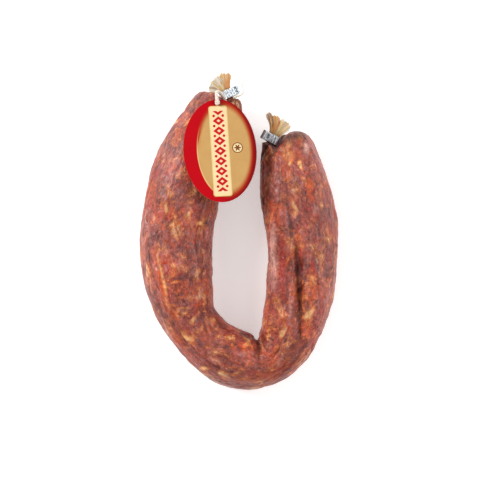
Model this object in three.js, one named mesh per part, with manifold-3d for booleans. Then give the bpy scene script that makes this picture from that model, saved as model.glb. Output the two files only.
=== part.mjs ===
// A cured sausage in its natural casing, bent into a long narrow U and lying on its side.
// Each end is gathered into a crimped aluminium clip, past which the casing opens into a dry
// ruffled tail. An oval tag hangs from the left neck on a short string.
// Units are millimetres and +Z is up. +Y points along the arms to their closed ends.
import * as THREE from 'three';
import { mergeVertices } from 'three/addons/utils/BufferGeometryUtils.js';
import Module from 'manifold-3d';

const wasm = await Module();
wasm.setup();

// Body
const CALIBRE = 40; // width of the arms, seen from above
const BODY_HEIGHT_RATIO = 0.92; // the sausage is a little flatter than it is wide
const HEIGHT_KEPT = 0.3; // share of the full height that a narrow stretch keeps
const LOOP_SPAN = 69; // between the centrelines of the two arms
const LOOP_DROP = 150; // along Y, from the left shoulder to the lowest point
const REST_FLAT = 0.9; // how deep the underside is pressed flat
const BODY_STEPS = 88;
const BODY_SIDES = 30;

// Grooves that formed in the casing as it dried: from and to as shares of the length, and the
// angle round the section, in radians from the outer side of the bend over the top.
const GROOVE_HALF_WIDTH = 0.32; // radians
const GROOVES = [
  { from: 0.575, to: 0.745, at: 1.72, depth: 3 },
  { from: 0.53, to: 0.61, at: 2.15, depth: 1.6 },
  { from: 0.385, to: 0.455, at: 2.1, depth: 1 },
];

// Necks, where the casing is gathered into the clips
const NECK_RADIUS = 2.2;
const NECK_RISE = 15; // height of the neck's axis over the table
const STRING_ROOM = 2.6; // bare neck between the body and the clip

// Clips
const CLIP_LENGTH = 10.6;
const CLIP_WIDTH = 4.4;
const CLIP_WALL = 0.8; // metal left round the neck's hole
const CLIP_CORNER = 1.5;
const CLIP_RIBS = 5;
const CLIP_RIB_DEPTH = 0.35;

// Casing tails
const TAIL_THICKNESS = 0.7;
const TAIL_STALK = 1.5; // half the thickness of the stalk in the clip
const TAIL_STALK_WIDTH = 0.75; // of the stalk, as a share of the neck's
const TAIL_PLEATS = 3.5;
const TAIL_WAVE = 0.16; // height of a pleat at the rim, as a share of the tail's reach

const TAILS = {
  left: { spread: 1.1, reach: 8.4, skew: 0.09, uneven: -0.14, lift: 2 },
  right: { spread: 0.68, reach: 11.5, skew: 0, uneven: -0.17, lift: 1 },
};

// Tag and its string
const TAG_WIDTH = 40;
const TAG_LENGTH = 57;
const TAG_THICKNESS = 0.7;
const TAG_LEAN = THREE.MathUtils.degToRad(3); // of the long axis, in the plane of the table
const TAG_PITCH = THREE.MathUtils.degToRad(-8); // its top end dips towards the neck
const TAG_ROLL = THREE.MathUtils.degToRad(5); // its free side dips towards the gap
const TAG_HOLE_INSET = 2.4; // from the top edge to the middle of the hole
const TAG_FROM_NECK = { x: -7.5, y: -2.3 }; // the hole's middle from the root of the left neck
const STRING_RADIUS = 0.7;
const KNOT_RADIUS = 1.5;

const CLEARANCE = 0.3; // between pieces that touch

// The clip closes round the neck near one of its ends.
const CLIP_HEIGHT = 2 * (NECK_RADIUS + CLEARANCE + CLIP_WALL);
const CLIP_OFFSET = (CLIP_LENGTH - CLIP_HEIGHT) / 2; // from the neck's axis to its middle

// The dimple round a neck, as wide as a turn of string needs.
const DIMPLE = 2 * (NECK_RADIUS + 2 * STRING_RADIUS + 3 * CLEARANCE);

// The centreline and the section, from the left shoulder round the bend to the right shoulder:
// x over half of LOOP_SPAN, y over LOOP_DROP, heading in degrees, width over CALIBRE.
const BODY_STATIONS = [
  [-0.35, 0.478, -100, 0.72],
  [-0.46, 0.406, -101, 0.88],
  [-0.64, 0.307, -104, 0.99],
  [-0.82, 0.206, -99, 1.03],
  [-0.95, 0.087, -93, 1.04],
  [-1.01, -0.054, -90, 1.01],
  [-0.97, -0.174, -79, 0.97],
  [-0.87, -0.269, -68, 0.88],
  [-0.74, -0.344, -54, 0.78],
  [-0.48, -0.415, -37, 0.78],
  [-0.18, -0.461, -22, 0.84],
  [0.16, -0.485, -7, 0.8],
  [0.44, -0.487, 22, 0.66],
  [0.63, -0.456, 49, 0.7],
  [0.77, -0.407, 68, 0.79],
  [0.89, -0.339, 81, 0.87],
  [0.98, -0.254, 90, 0.94],
  [1.03, -0.098, 90, 0.99],
  [1.01, 0.028, 93, 1.02],
  [0.93, 0.135, 98, 1.0],
  [0.86, 0.22, 101, 0.91],
  [0.81, 0.283, 96, 0.8],
  [0.79, 0.328, 94, 0.72],
];

// The two necks: x over half of LOOP_SPAN, y over LOOP_DROP, and the way the tail points.
const NECKS = {
  left: { x: -0.122, y: 0.48, out: 115 },
  right: { x: 0.499, y: 0.313, out: 62 },
};

// The puffed lobes between a neck's dimple and its shoulder, from the neck outwards: sideways
// and along the neck from its root, turn in degrees, width and height, all but the turn over
// CALIBRE.
const LOBES = {
  left: [
    [-0.035, 0.115, -39, 0.38, 0.44],
    [-0.095, 0.128, -41, 0.58, 0.6],
  ],
  right: [
    [0.005, 0.162, 44, 0.37, 0.44],
    [0.088, 0.215, 45, 0.6, 0.6],
  ],
};
const DIMPLE_RIM = { along: 1.95, flare: 1.28, rise: 1.5 }; // from the root, and over DIMPLE

const COLOURS = {
  meat: { color: 0x96503f, roughness: 0.5, metalness: 0 },
  clip: { color: 0x9aa6ad, roughness: 0.35, metalness: 0.9 },
  tail: { color: 0xdbb886, roughness: 0.6, metalness: 0 },
  tag: { color: 0xd0021b, roughness: 0.35, metalness: 0 },
  string: { color: 0xe6ddd0, roughness: 0.9, metalness: 0 },
};

const group = new THREE.Group();

function addMesh(name, geometry, look) {
  const mesh = new THREE.Mesh(geometry, new THREE.MeshStandardMaterial(look));
  mesh.name = name;
  group.add(mesh);
  return mesh;
}

// A closed geometry with its shared vertices merged and only its positions kept.
function welded(geometry) {
  const bare = geometry.clone();
  bare.deleteAttribute('normal');
  bare.deleteAttribute('uv');
  return mergeVertices(bare, 1e-4);
}

function toSolid(geometry) {
  const closed = welded(geometry);
  return new wasm.Manifold(new wasm.Mesh({
    numProp: 3,
    vertProperties: new Float32Array(closed.attributes.position.array),
    triVerts: new Uint32Array(closed.index.array),
  }));
}

function toGeometry(solid) {
  const mesh = solid.getMesh();
  const geometry = new THREE.BufferGeometry();
  geometry.setAttribute('position', new THREE.BufferAttribute(mesh.vertProperties, 3));
  geometry.setIndex(new THREE.BufferAttribute(mesh.triVerts, 1));
  geometry.computeVertexNormals();
  return geometry;
}

function direction(degrees) {
  const angle = THREE.MathUtils.degToRad(degrees);
  return new THREE.Vector3(Math.cos(angle), Math.sin(angle), 0);
}

// The point of a neck's axis where the bare neck leaves the body, and its outward direction.
function neckFrame(neck) {
  const out = direction(neck.out);
  const root = new THREE.Vector3(neck.x * LOOP_SPAN / 2, neck.y * LOOP_DROP, NECK_RISE);
  const across = new THREE.Vector3(out.y, -out.x, 0);
  return { out, root, across };
}

function bodyRing(x, y, heading, width) {
  const height = BODY_HEIGHT_RATIO * THREE.MathUtils.lerp(width, CALIBRE, HEIGHT_KEPT);
  return { x, y, z: height / 2 - REST_FLAT, heading, width, height };
}

// The rings from the end of a neck, in its clip, to the last lobe before the shoulder.
function endRings(neck, lobes, turn) {
  const { out, root, across } = neckFrame(neck);
  const heading = neck.out + turn;
  const ring = (sideways, along, turned, width, height) => {
    const place = root.clone().addScaledVector(across, sideways).addScaledVector(out, along);
    return { x: place.x, y: place.y, z: place.z, heading: heading + turned, width, height };
  };
  const thick = 2 * NECK_RADIUS;
  const tip = STRING_ROOM + (CLIP_WIDTH - CLEARANCE) / 2;
  return [
    ring(0, tip, 0, thick, thick),
    ring(0, tip / 2, 0, thick, thick),
    ring(0, 0, 0, thick, thick),
    ring(0, 0, 0, DIMPLE, DIMPLE),
    ring(0, DIMPLE_RIM.along, lobes[0][2] / 2, DIMPLE * DIMPLE_RIM.flare, DIMPLE * DIMPLE_RIM.rise),
    ...lobes.map(([sideways, along, turned, width, height]) => (
      ring(sideways * CALIBRE, along * CALIBRE, turned, width * CALIBRE, height * CALIBRE)
    )),
  ];
}

function bodyRings() {
  const middle = BODY_STATIONS.map(([x, y, heading, width]) => (
    bodyRing(x * LOOP_SPAN / 2, y * LOOP_DROP, heading, width * CALIBRE)
  ));
  const left = endRings(NECKS.left, LOBES.left, -180);
  const right = endRings(NECKS.right, LOBES.right, 0);
  return [...left, ...middle, ...right.reverse()];
}

// A smooth value between rings: each quantity follows its own curve through them.
function ringCurve(rings) {
  const places = rings.map((ring) => new THREE.Vector3(ring.x, ring.y, ring.z));
  const sizes = rings.map((ring) => new THREE.Vector3(ring.width, ring.height, ring.heading / 10));
  const placeCurve = new THREE.CatmullRomCurve3(places, false, 'centripetal');
  const sizeCurve = new THREE.CatmullRomCurve3(sizes, false, 'catmullrom', 0.4);
  return (t) => {
    const place = placeCurve.getPoint(t);
    const size = sizeCurve.getPoint(t);
    return { place, width: size.x, height: size.y, heading: size.z * 10 };
  };
}

// How far a long groove presses the casing in, at a share of the length and an angle round it.
function groove(along, angle, { from, to, at, depth }) {
  if (along < from || along > to) return 0;
  const fade = Math.sin(Math.PI * (along - from) / (to - from));
  const off = (angle - at) / GROOVE_HALF_WIDTH;
  return depth * Math.sqrt(fade) * Math.exp(-off * off);
}

// A straight blank turned on a lathe, then carried onto the rings: its height is the share of
// the length and its angle is the angle round the section.
function sausageGeometry() {
  const profile = [new THREE.Vector2(0, 0)];
  for (let i = 0; i <= BODY_STEPS; i += 1) {
    profile.push(new THREE.Vector2(1, i / BODY_STEPS));
  }
  profile.push(new THREE.Vector2(0, 1));
  const blank = welded(new THREE.LatheGeometry(profile, BODY_SIDES));
  const ringAt = ringCurve(bodyRings());
  const vertices = blank.attributes.position;
  for (let i = 0; i < vertices.count; i += 1) {
    const along = THREE.MathUtils.clamp(vertices.getY(i), 0, 1);
    const radius = Math.hypot(vertices.getX(i), vertices.getZ(i));
    const angle = Math.atan2(vertices.getZ(i), vertices.getX(i));
    const { place, width, height, heading } = ringAt(along);
    const side = direction(heading - 90);
    const pressed = GROOVES.reduce((sum, one) => sum + groove(along, angle, one), 0);
    const reach = radius * Math.cos(angle) * (width / 2 - pressed);
    const rise = radius * Math.sin(angle) * (height / 2 - pressed);
    const z = Math.max(place.z + rise, 0);
    vertices.setXYZ(i, place.x + side.x * reach, place.y + side.y * reach, z);
  }
  return outward(blank);
}

// Turns a geometry's faces round when they point inwards.
function outward(geometry) {
  const vertices = geometry.attributes.position;
  const corner = [new THREE.Vector3(), new THREE.Vector3(), new THREE.Vector3()];
  const index = geometry.index.array;
  let volume = 0;
  for (let i = 0; i < index.length; i += 3) {
    corner.forEach((point, k) => point.fromBufferAttribute(vertices, index[i + k]));
    volume += corner[0].dot(corner[1].clone().cross(corner[2]));
  }
  if (volume < 0) {
    for (let i = 0; i < index.length; i += 3) {
      [index[i], index[i + 1]] = [index[i + 1], index[i]];
    }
  }
  geometry.computeVertexNormals();
  return geometry;
}

// A rounded bar across the neck, ribbed along its length, with the neck's hole off its middle.
function clipGeometry(neck, offset) {
  const outline = new THREE.Shape();
  const half = CLIP_LENGTH / 2;
  const top = CLIP_HEIGHT / 2;
  outline.moveTo(offset - half + CLIP_CORNER, -top);
  outline.lineTo(offset + half - CLIP_CORNER, -top);
  outline.quadraticCurveTo(offset + half, -top, offset + half, -top + CLIP_CORNER);
  outline.lineTo(offset + half, top - CLIP_CORNER);
  outline.quadraticCurveTo(offset + half, top, offset + half - CLIP_CORNER, top);
  const pitch = (CLIP_LENGTH - 2 * CLIP_CORNER) / CLIP_RIBS;
  for (let i = 0; i < CLIP_RIBS; i += 1) {
    const x = offset + half - CLIP_CORNER - (i + 0.5) * pitch;
    outline.lineTo(x + pitch / 4, top);
    outline.lineTo(x, top - CLIP_RIB_DEPTH);
    outline.lineTo(x - pitch / 4, top);
  }
  outline.lineTo(offset - half + CLIP_CORNER, top);
  outline.quadraticCurveTo(offset - half, top, offset - half, top - CLIP_CORNER);
  outline.lineTo(offset - half, -top + CLIP_CORNER);
  outline.quadraticCurveTo(offset - half, -top, offset - half + CLIP_CORNER, -top);
  const hole = new THREE.Path();
  hole.absarc(0, 0, NECK_RADIUS + CLEARANCE, 0, 2 * Math.PI, true);
  outline.holes.push(hole);
  const bar = new THREE.ExtrudeGeometry(outline, {
    depth: CLIP_WIDTH, bevelEnabled: false, curveSegments: 6,
  });
  const { out, root, across } = neckFrame(neck);
  const place = new THREE.Matrix4().makeBasis(across, new THREE.Vector3(0, 0, 1), out.clone().negate());
  place.setPosition(root.clone().addScaledVector(out, STRING_ROOM + CLIP_WIDTH));
  return bar.applyMatrix4(place);
}

// A pleated fan of dry casing that grows out of a flat stalk in the clip.
function tailGeometry(neck, { spread, reach, skew, uneven, lift }) {
  const fan = welded(new THREE.BoxGeometry(1, 1, 1, 28, 9, 1));
  const { out, root, across } = neckFrame(neck);
  const stalk = CLIP_WIDTH / 2 + CLEARANCE;
  const start = root.clone().addScaledVector(out, STRING_ROOM + (CLIP_WIDTH + CLEARANCE) / 2);
  const vertices = fan.attributes.position;
  for (let i = 0; i < vertices.count; i += 1) {
    const u = vertices.getX(i) * 2;
    const along = (vertices.getY(i) + 0.5) * (stalk + reach);
    const face = vertices.getZ(i) * 2;
    const open = Math.max(0, along - stalk) / reach;
    const radius = open * reach * (1 + uneven * u + 0.08 * Math.cos(u * 5));
    const angle = open ** 0.3 * (u * spread + skew);
    const sideways = NECK_RADIUS * TAIL_STALK_WIDTH * u * (1 - open);
    const wave = open * reach * TAIL_WAVE * Math.sin(u * Math.PI * TAIL_PLEATS);
    const thick = THREE.MathUtils.lerp(TAIL_STALK, TAIL_THICKNESS / 2, Math.min(1, open * 3));
    const edge = 1 - 0.45 * (1 - open) * u * u;
    const point = start.clone()
      .addScaledVector(out, Math.min(along, stalk) + radius * Math.cos(angle))
      .addScaledVector(across, radius * Math.sin(angle) + sideways);
    vertices.setXYZ(i, point.x, point.y, point.z + wave + lift * open + face * thick * edge);
  }
  return outward(fan);
}

// Where a turned tag lies: its plane, and the lift that puts it just clear of the body.
function tagPlacement(body) {
  const turn = new THREE.Matrix4().makeRotationFromEuler(
    new THREE.Euler(TAG_PITCH, TAG_ROLL, TAG_LEAN, 'ZYX'),
  );
  const neck = neckFrame(NECKS.left).root;
  const holeFromNeck = new THREE.Vector3(TAG_FROM_NECK.x, TAG_FROM_NECK.y, 0);
  const holeInTag = new THREE.Vector3(0, TAG_LENGTH / 2 - TAG_HOLE_INSET, 0).applyMatrix4(turn);
  const centre = neck.clone().add(holeFromNeck).sub(holeInTag).setZ(0);
  const normal = new THREE.Vector3(0, 0, 1).transformDirection(turn);
  const vertices = body.attributes.position;
  const point = new THREE.Vector3();
  const reach = TAG_LENGTH / 2 + 4;
  let height = 0;
  for (let i = 0; i < vertices.count; i += 1) {
    point.fromBufferAttribute(vertices, i).sub(centre);
    if (Math.hypot(point.x * TAG_LENGTH / TAG_WIDTH, point.y) < reach) {
      height = Math.max(height, point.dot(normal) / normal.z);
    }
  }
  centre.z = height + CLEARANCE / normal.z;
  return turn.setPosition(centre);
}

function tagGeometry(placement) {
  const outline = new THREE.Shape();
  outline.absellipse(0, 0, TAG_WIDTH / 2, TAG_LENGTH / 2, 0, 2 * Math.PI, false);
  const hole = new THREE.Path();
  const holeY = TAG_LENGTH / 2 - TAG_HOLE_INSET;
  hole.absarc(0, holeY, STRING_RADIUS + CLEARANCE, 0, 2 * Math.PI, true);
  outline.holes.push(hole);
  const card = new THREE.ExtrudeGeometry(outline, {
    depth: TAG_THICKNESS, bevelEnabled: false, curveSegments: 28,
  });
  return card.applyMatrix4(placement);
}

function ballGeometry(centre, radius) {
  return new THREE.SphereGeometry(radius, 12, 8).translate(centre.x, centre.y, centre.z);
}

// A round section carried along a curve.
function cordGeometry(points, steps) {
  const section = new THREE.Shape();
  section.absarc(0, 0, STRING_RADIUS, 0, 2 * Math.PI, false);
  const path = new THREE.CatmullRomCurve3(points, false, 'centripetal');
  return new THREE.ExtrudeGeometry(section, {
    extrudePath: path, steps, curveSegments: 4, bevelEnabled: false,
  });
}

// The string: a free end beside the clip, a turn round the left neck, then over the tag's edge
// to a knot, down the hole and back under the edge.
function stringGeometry(placement) {
  const { out, root, across } = neckFrame(NECKS.left);
  const off = CLEARANCE + STRING_RADIUS;
  const middle = root.clone().addScaledVector(out, STRING_ROOM - off);
  const near = (sideways, along, up) => middle.clone()
    .addScaledVector(across, sideways)
    .addScaledVector(out, along)
    .add(new THREE.Vector3(0, 0, up));
  const ring = NECK_RADIUS + CLEARANCE + STRING_RADIUS;
  const clipEnd = CLIP_OFFSET + CLIP_LENGTH / 2 + off;
  const overClip = CLIP_HEIGHT / 2 + off + 0.8;
  const pastLobe = 2 * off;
  const holeY = TAG_LENGTH / 2 - TAG_HOLE_INSET;
  const onTag = (y, z) => new THREE.Vector3(0, y, z).applyMatrix4(placement);
  const edge = TAG_LENGTH / 2 + off;
  const above = TAG_THICKNESS + off;
  const join = onTag(edge, TAG_THICKNESS / 2);
  const knot = onTag(holeY, TAG_THICKNESS + CLEARANCE + KNOT_RADIUS);
  const lobe = LOBES.left.at(-1)[1] * CALIBRE;
  const climb = (share) => THREE.MathUtils.lerp(overClip, join.z - root.z, share);
  const strand = [
    near(clipEnd + 0.6, 9.5, 2),
    near(clipEnd + 0.4, 6, 3),
    near(clipEnd - 1, pastLobe + 0.6, overClip),
    near(ring, pastLobe, overClip),
    near(ring, -0.1, ring * 1.1),
    near(ring * 0.8, 0, -ring * 0.6),
    near(0, 0, -ring),
    near(-ring * 0.8, 0, -ring * 0.6),
    near(-ring * 0.85, 0, ring),
    near(-ring * 0.7, pastLobe, overClip + 0.2),
    near(-ring * 0.9, lobe + 0.6, climb(0.22)),
    near(-ring * 1.2, lobe + 2.4, climb(0.52)),
    near(-ring * 1.7, lobe + 1.8, climb(0.83)),
    onTag(edge, above),
    knot,
  ];
  const loop = [knot, onTag(holeY, TAG_THICKNESS), onTag(holeY, 0), onTag(holeY + 0.6, -off),
    onTag(edge - 0.6, -off), join, onTag(edge, above)];
  const pieces = [
    cordGeometry(strand, 48),
    cordGeometry(loop, 20),
    ballGeometry(knot, KNOT_RADIUS),
  ];
  return toGeometry(pieces.map(toSolid).reduce((sum, piece) => sum.add(piece)));
}

const body = sausageGeometry();
const tagPlace = tagPlacement(body);

addMesh('sausage_body', body, COLOURS.meat);
addMesh('left_clip', clipGeometry(NECKS.left, CLIP_OFFSET), COLOURS.clip);
addMesh('right_clip', clipGeometry(NECKS.right, -CLIP_OFFSET), COLOURS.clip);
addMesh('left_casing_tail', tailGeometry(NECKS.left, TAILS.left),
  COLOURS.tail);
addMesh('right_casing_tail', tailGeometry(NECKS.right, TAILS.right),
  COLOURS.tail);
addMesh('tag', tagGeometry(tagPlace), COLOURS.tag);
addMesh('tag_string', stringGeometry(tagPlace), COLOURS.string);

// The origin is the middle of the footprint, on the table.
const bounds = new THREE.Box3().setFromObject(group);
const centre = bounds.getCenter(new THREE.Vector3());
group.position.set(-centre.x, -centre.y, -bounds.min.z);

export default group;
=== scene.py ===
"""A cured sausage in its natural casing, bent into a long narrow U and lying on its side.

Each end is gathered into a crimped aluminium clip, past which the dry casing opens into a
frill. An oval printed tag hangs from the left neck on a twisted string. Lengths in the classes
are in millimetres; a mesh gets its metres when its points are written.
"""

import logging
import math
from dataclasses import dataclass
from enum import Enum

import bpy
import numpy as np
from mathutils import Euler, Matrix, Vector, noise


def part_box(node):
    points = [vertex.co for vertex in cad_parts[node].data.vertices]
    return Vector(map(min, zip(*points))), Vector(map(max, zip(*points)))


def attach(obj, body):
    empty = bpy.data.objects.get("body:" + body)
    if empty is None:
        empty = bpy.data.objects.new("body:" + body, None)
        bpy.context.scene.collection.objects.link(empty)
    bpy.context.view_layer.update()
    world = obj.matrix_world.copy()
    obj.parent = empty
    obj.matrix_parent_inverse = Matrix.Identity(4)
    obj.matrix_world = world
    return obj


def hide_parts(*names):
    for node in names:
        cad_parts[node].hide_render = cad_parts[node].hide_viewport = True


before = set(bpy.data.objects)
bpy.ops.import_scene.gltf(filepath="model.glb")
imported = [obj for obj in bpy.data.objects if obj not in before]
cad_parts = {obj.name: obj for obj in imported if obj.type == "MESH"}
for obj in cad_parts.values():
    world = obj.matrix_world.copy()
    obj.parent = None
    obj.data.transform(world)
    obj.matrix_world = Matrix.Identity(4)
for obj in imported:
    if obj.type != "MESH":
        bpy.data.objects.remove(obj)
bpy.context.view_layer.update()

LOG = logging.getLogger("cured_sausage")
MM = 0.001

Colour = tuple[float, float, float, float]


def srgb(red: int, green: int, blue: int) -> Colour:
    """The linear colour of a display colour with parts from 0 to 255.

    Args:
        red: Red, 0 to 255.
        green: Green, 0 to 255.
        blue: Blue, 0 to 255.

    Returns:
        The colour as linear red, green, blue and alpha.
    """

    def linear(part: int) -> float:
        """One part as a linear value."""
        share = part / 255
        return share / 12.92 if share <= 0.04045 else ((share + 0.055) / 1.055) ** 2.4

    return (linear(red), linear(green), linear(blue), 1.0)


def smooth(value: np.ndarray, low: float, high: float) -> np.ndarray:
    """A smooth step from 0 at low to 1 at high.

    Args:
        value: The values to step on.
        low: Where the step starts.
        high: Where the step ends; it may lie below low for a falling step.

    Returns:
        The stepped values, from 0 to 1.
    """
    share = np.clip((value - low) / (high - low), 0, 1)
    return share * share * (3 - 2 * share)


def field_noise(points: np.ndarray, size: tuple[float, float, float], octaves: int = 2) -> np.ndarray:
    """Smooth noise at each point.

    Args:
        points: Points in millimetres, one a row.
        size: The size of the noise's features along each axis, in millimetres.
        octaves: How many finer layers are added up.

    Returns:
        Values from about -1 to 1.
    """
    scaled = points / np.array(size)
    return np.array([noise.fractal(p, 1.0, 2.0, octaves) for p in scaled.tolist()])


# ------------------------------------------------------------------ mesh work


def deselect() -> None:
    """Leaves object mode with nothing selected."""
    if bpy.context.object and bpy.context.object.mode != "OBJECT":
        bpy.ops.object.mode_set(mode="OBJECT")
    bpy.ops.object.select_all(action="DESELECT")


def take(piece: bpy.types.Object) -> bpy.types.Object:
    """Makes a piece the only selected one, and the active one.

    Args:
        piece: The piece.

    Returns:
        The same piece.
    """
    deselect()
    piece.select_set(True)
    bpy.context.view_layer.objects.active = piece
    return piece


def copy_of(node: str, name: str) -> bpy.types.Object:
    """A loose copy of a CAD node with its faces joined up.

    Args:
        node: The CAD node's name.
        name: The new piece's name.

    Returns:
        The copy, which rides on nothing yet.
    """
    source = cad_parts[node]
    mesh = source.data.copy()
    mesh.materials.clear()
    piece = bpy.data.objects.new(name, mesh)
    bpy.context.scene.collection.objects.link(piece)
    take(piece)
    bpy.ops.object.mode_set(mode="EDIT")
    bpy.ops.mesh.select_all(action="SELECT")
    bpy.ops.mesh.remove_doubles(threshold=0.01 * MM)
    bpy.ops.mesh.tris_convert_to_quads(face_threshold=math.radians(40), shape_threshold=math.radians(70))
    bpy.ops.object.mode_set(mode="OBJECT")
    return piece


def apply_modifier(piece: bpy.types.Object, kind: str, **settings: object) -> None:
    """Adds a modifier with its settings and applies it.

    Args:
        piece: The piece to finish.
        kind: The modifier's type, such as SUBSURF.
        **settings: The modifier's own fields.
    """
    take(piece)
    modifier = piece.modifiers.new(kind.title(), kind)
    for name, value in settings.items():
        setattr(modifier, name, value)
    bpy.ops.object.modifier_apply(modifier=modifier.name)


def per_point(piece: bpy.types.Object, what: str) -> np.ndarray:
    """A vector that the mesh keeps for each of its points.

    Args:
        piece: The piece.
        what: The vector's name in Blender, such as co or normal.

    Returns:
        One row of three for each point.
    """
    flat = np.empty(len(piece.data.vertices) * 3)
    piece.data.vertices.foreach_get(what, flat)
    return flat.reshape(-1, 3)


def places(piece: bpy.types.Object) -> np.ndarray:
    """The piece's points in millimetres, one a row."""
    return per_point(piece, "co") / MM


def set_places(piece: bpy.types.Object, points: np.ndarray) -> None:
    """Moves the piece's points to the given millimetres."""
    piece.data.vertices.foreach_set("co", (points * MM).ravel())
    piece.data.update()


def normals(piece: bpy.types.Object) -> np.ndarray:
    """The piece's outward directions at its points, one a row."""
    return per_point(piece, "normal")


def paint(piece: bpy.types.Object, name: str, values: np.ndarray) -> None:
    """Stores a value or a vector at each point, for the piece's finish to read.

    Args:
        piece: The piece.
        name: The attribute's name.
        values: One value or one row of three for each point.
    """
    vector = values.ndim == 2
    kind = "FLOAT_VECTOR" if vector else "FLOAT"
    layer = piece.data.attributes.new(name, kind, "POINT")
    layer.data.foreach_set("vector" if vector else "value", values.astype(np.float32).ravel())


def shade_smooth(piece: bpy.types.Object) -> None:
    """Smooths the shading of every face."""
    take(piece)
    bpy.ops.object.shade_smooth()


def recalculate(piece: bpy.types.Object) -> None:
    """Turns every face of a closed piece outwards.

    Args:
        piece: The piece.
    """
    take(piece)
    bpy.ops.object.mode_set(mode="EDIT")
    bpy.ops.mesh.select_all(action="SELECT")
    bpy.ops.mesh.normals_make_consistent(inside=False)
    bpy.ops.object.mode_set(mode="OBJECT")


def join(parts: list[bpy.types.Object], name: str) -> bpy.types.Object:
    """Joins pieces into the first one.

    Args:
        parts: The pieces to join.
        name: The joined piece's name.

    Returns:
        The joined piece.
    """
    take(parts[0])
    for part in parts[1:]:
        part.select_set(True)
    bpy.ops.object.join()
    parts[0].name = name
    parts[0].data.name = name
    return parts[0]


def seat(piece: bpy.types.Object, material: bpy.types.Material, slot: str, *nodes: str) -> None:
    """Dresses a finished piece and puts it in the frame in place of its CAD nodes.

    Args:
        piece: The finished piece.
        material: Its finish.
        slot: The record's slot of that finish; not used.
        *nodes: The CAD nodes it stands for.
    """
    piece.data.materials.clear()
    piece.data.materials.append(material)
    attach(piece, "root")
    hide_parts(*nodes)
    LOG.info("%s: %d faces, finish %s", piece.name, len(piece.data.polygons), material.name)


# ------------------------------------------------------------------ finishes


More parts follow.
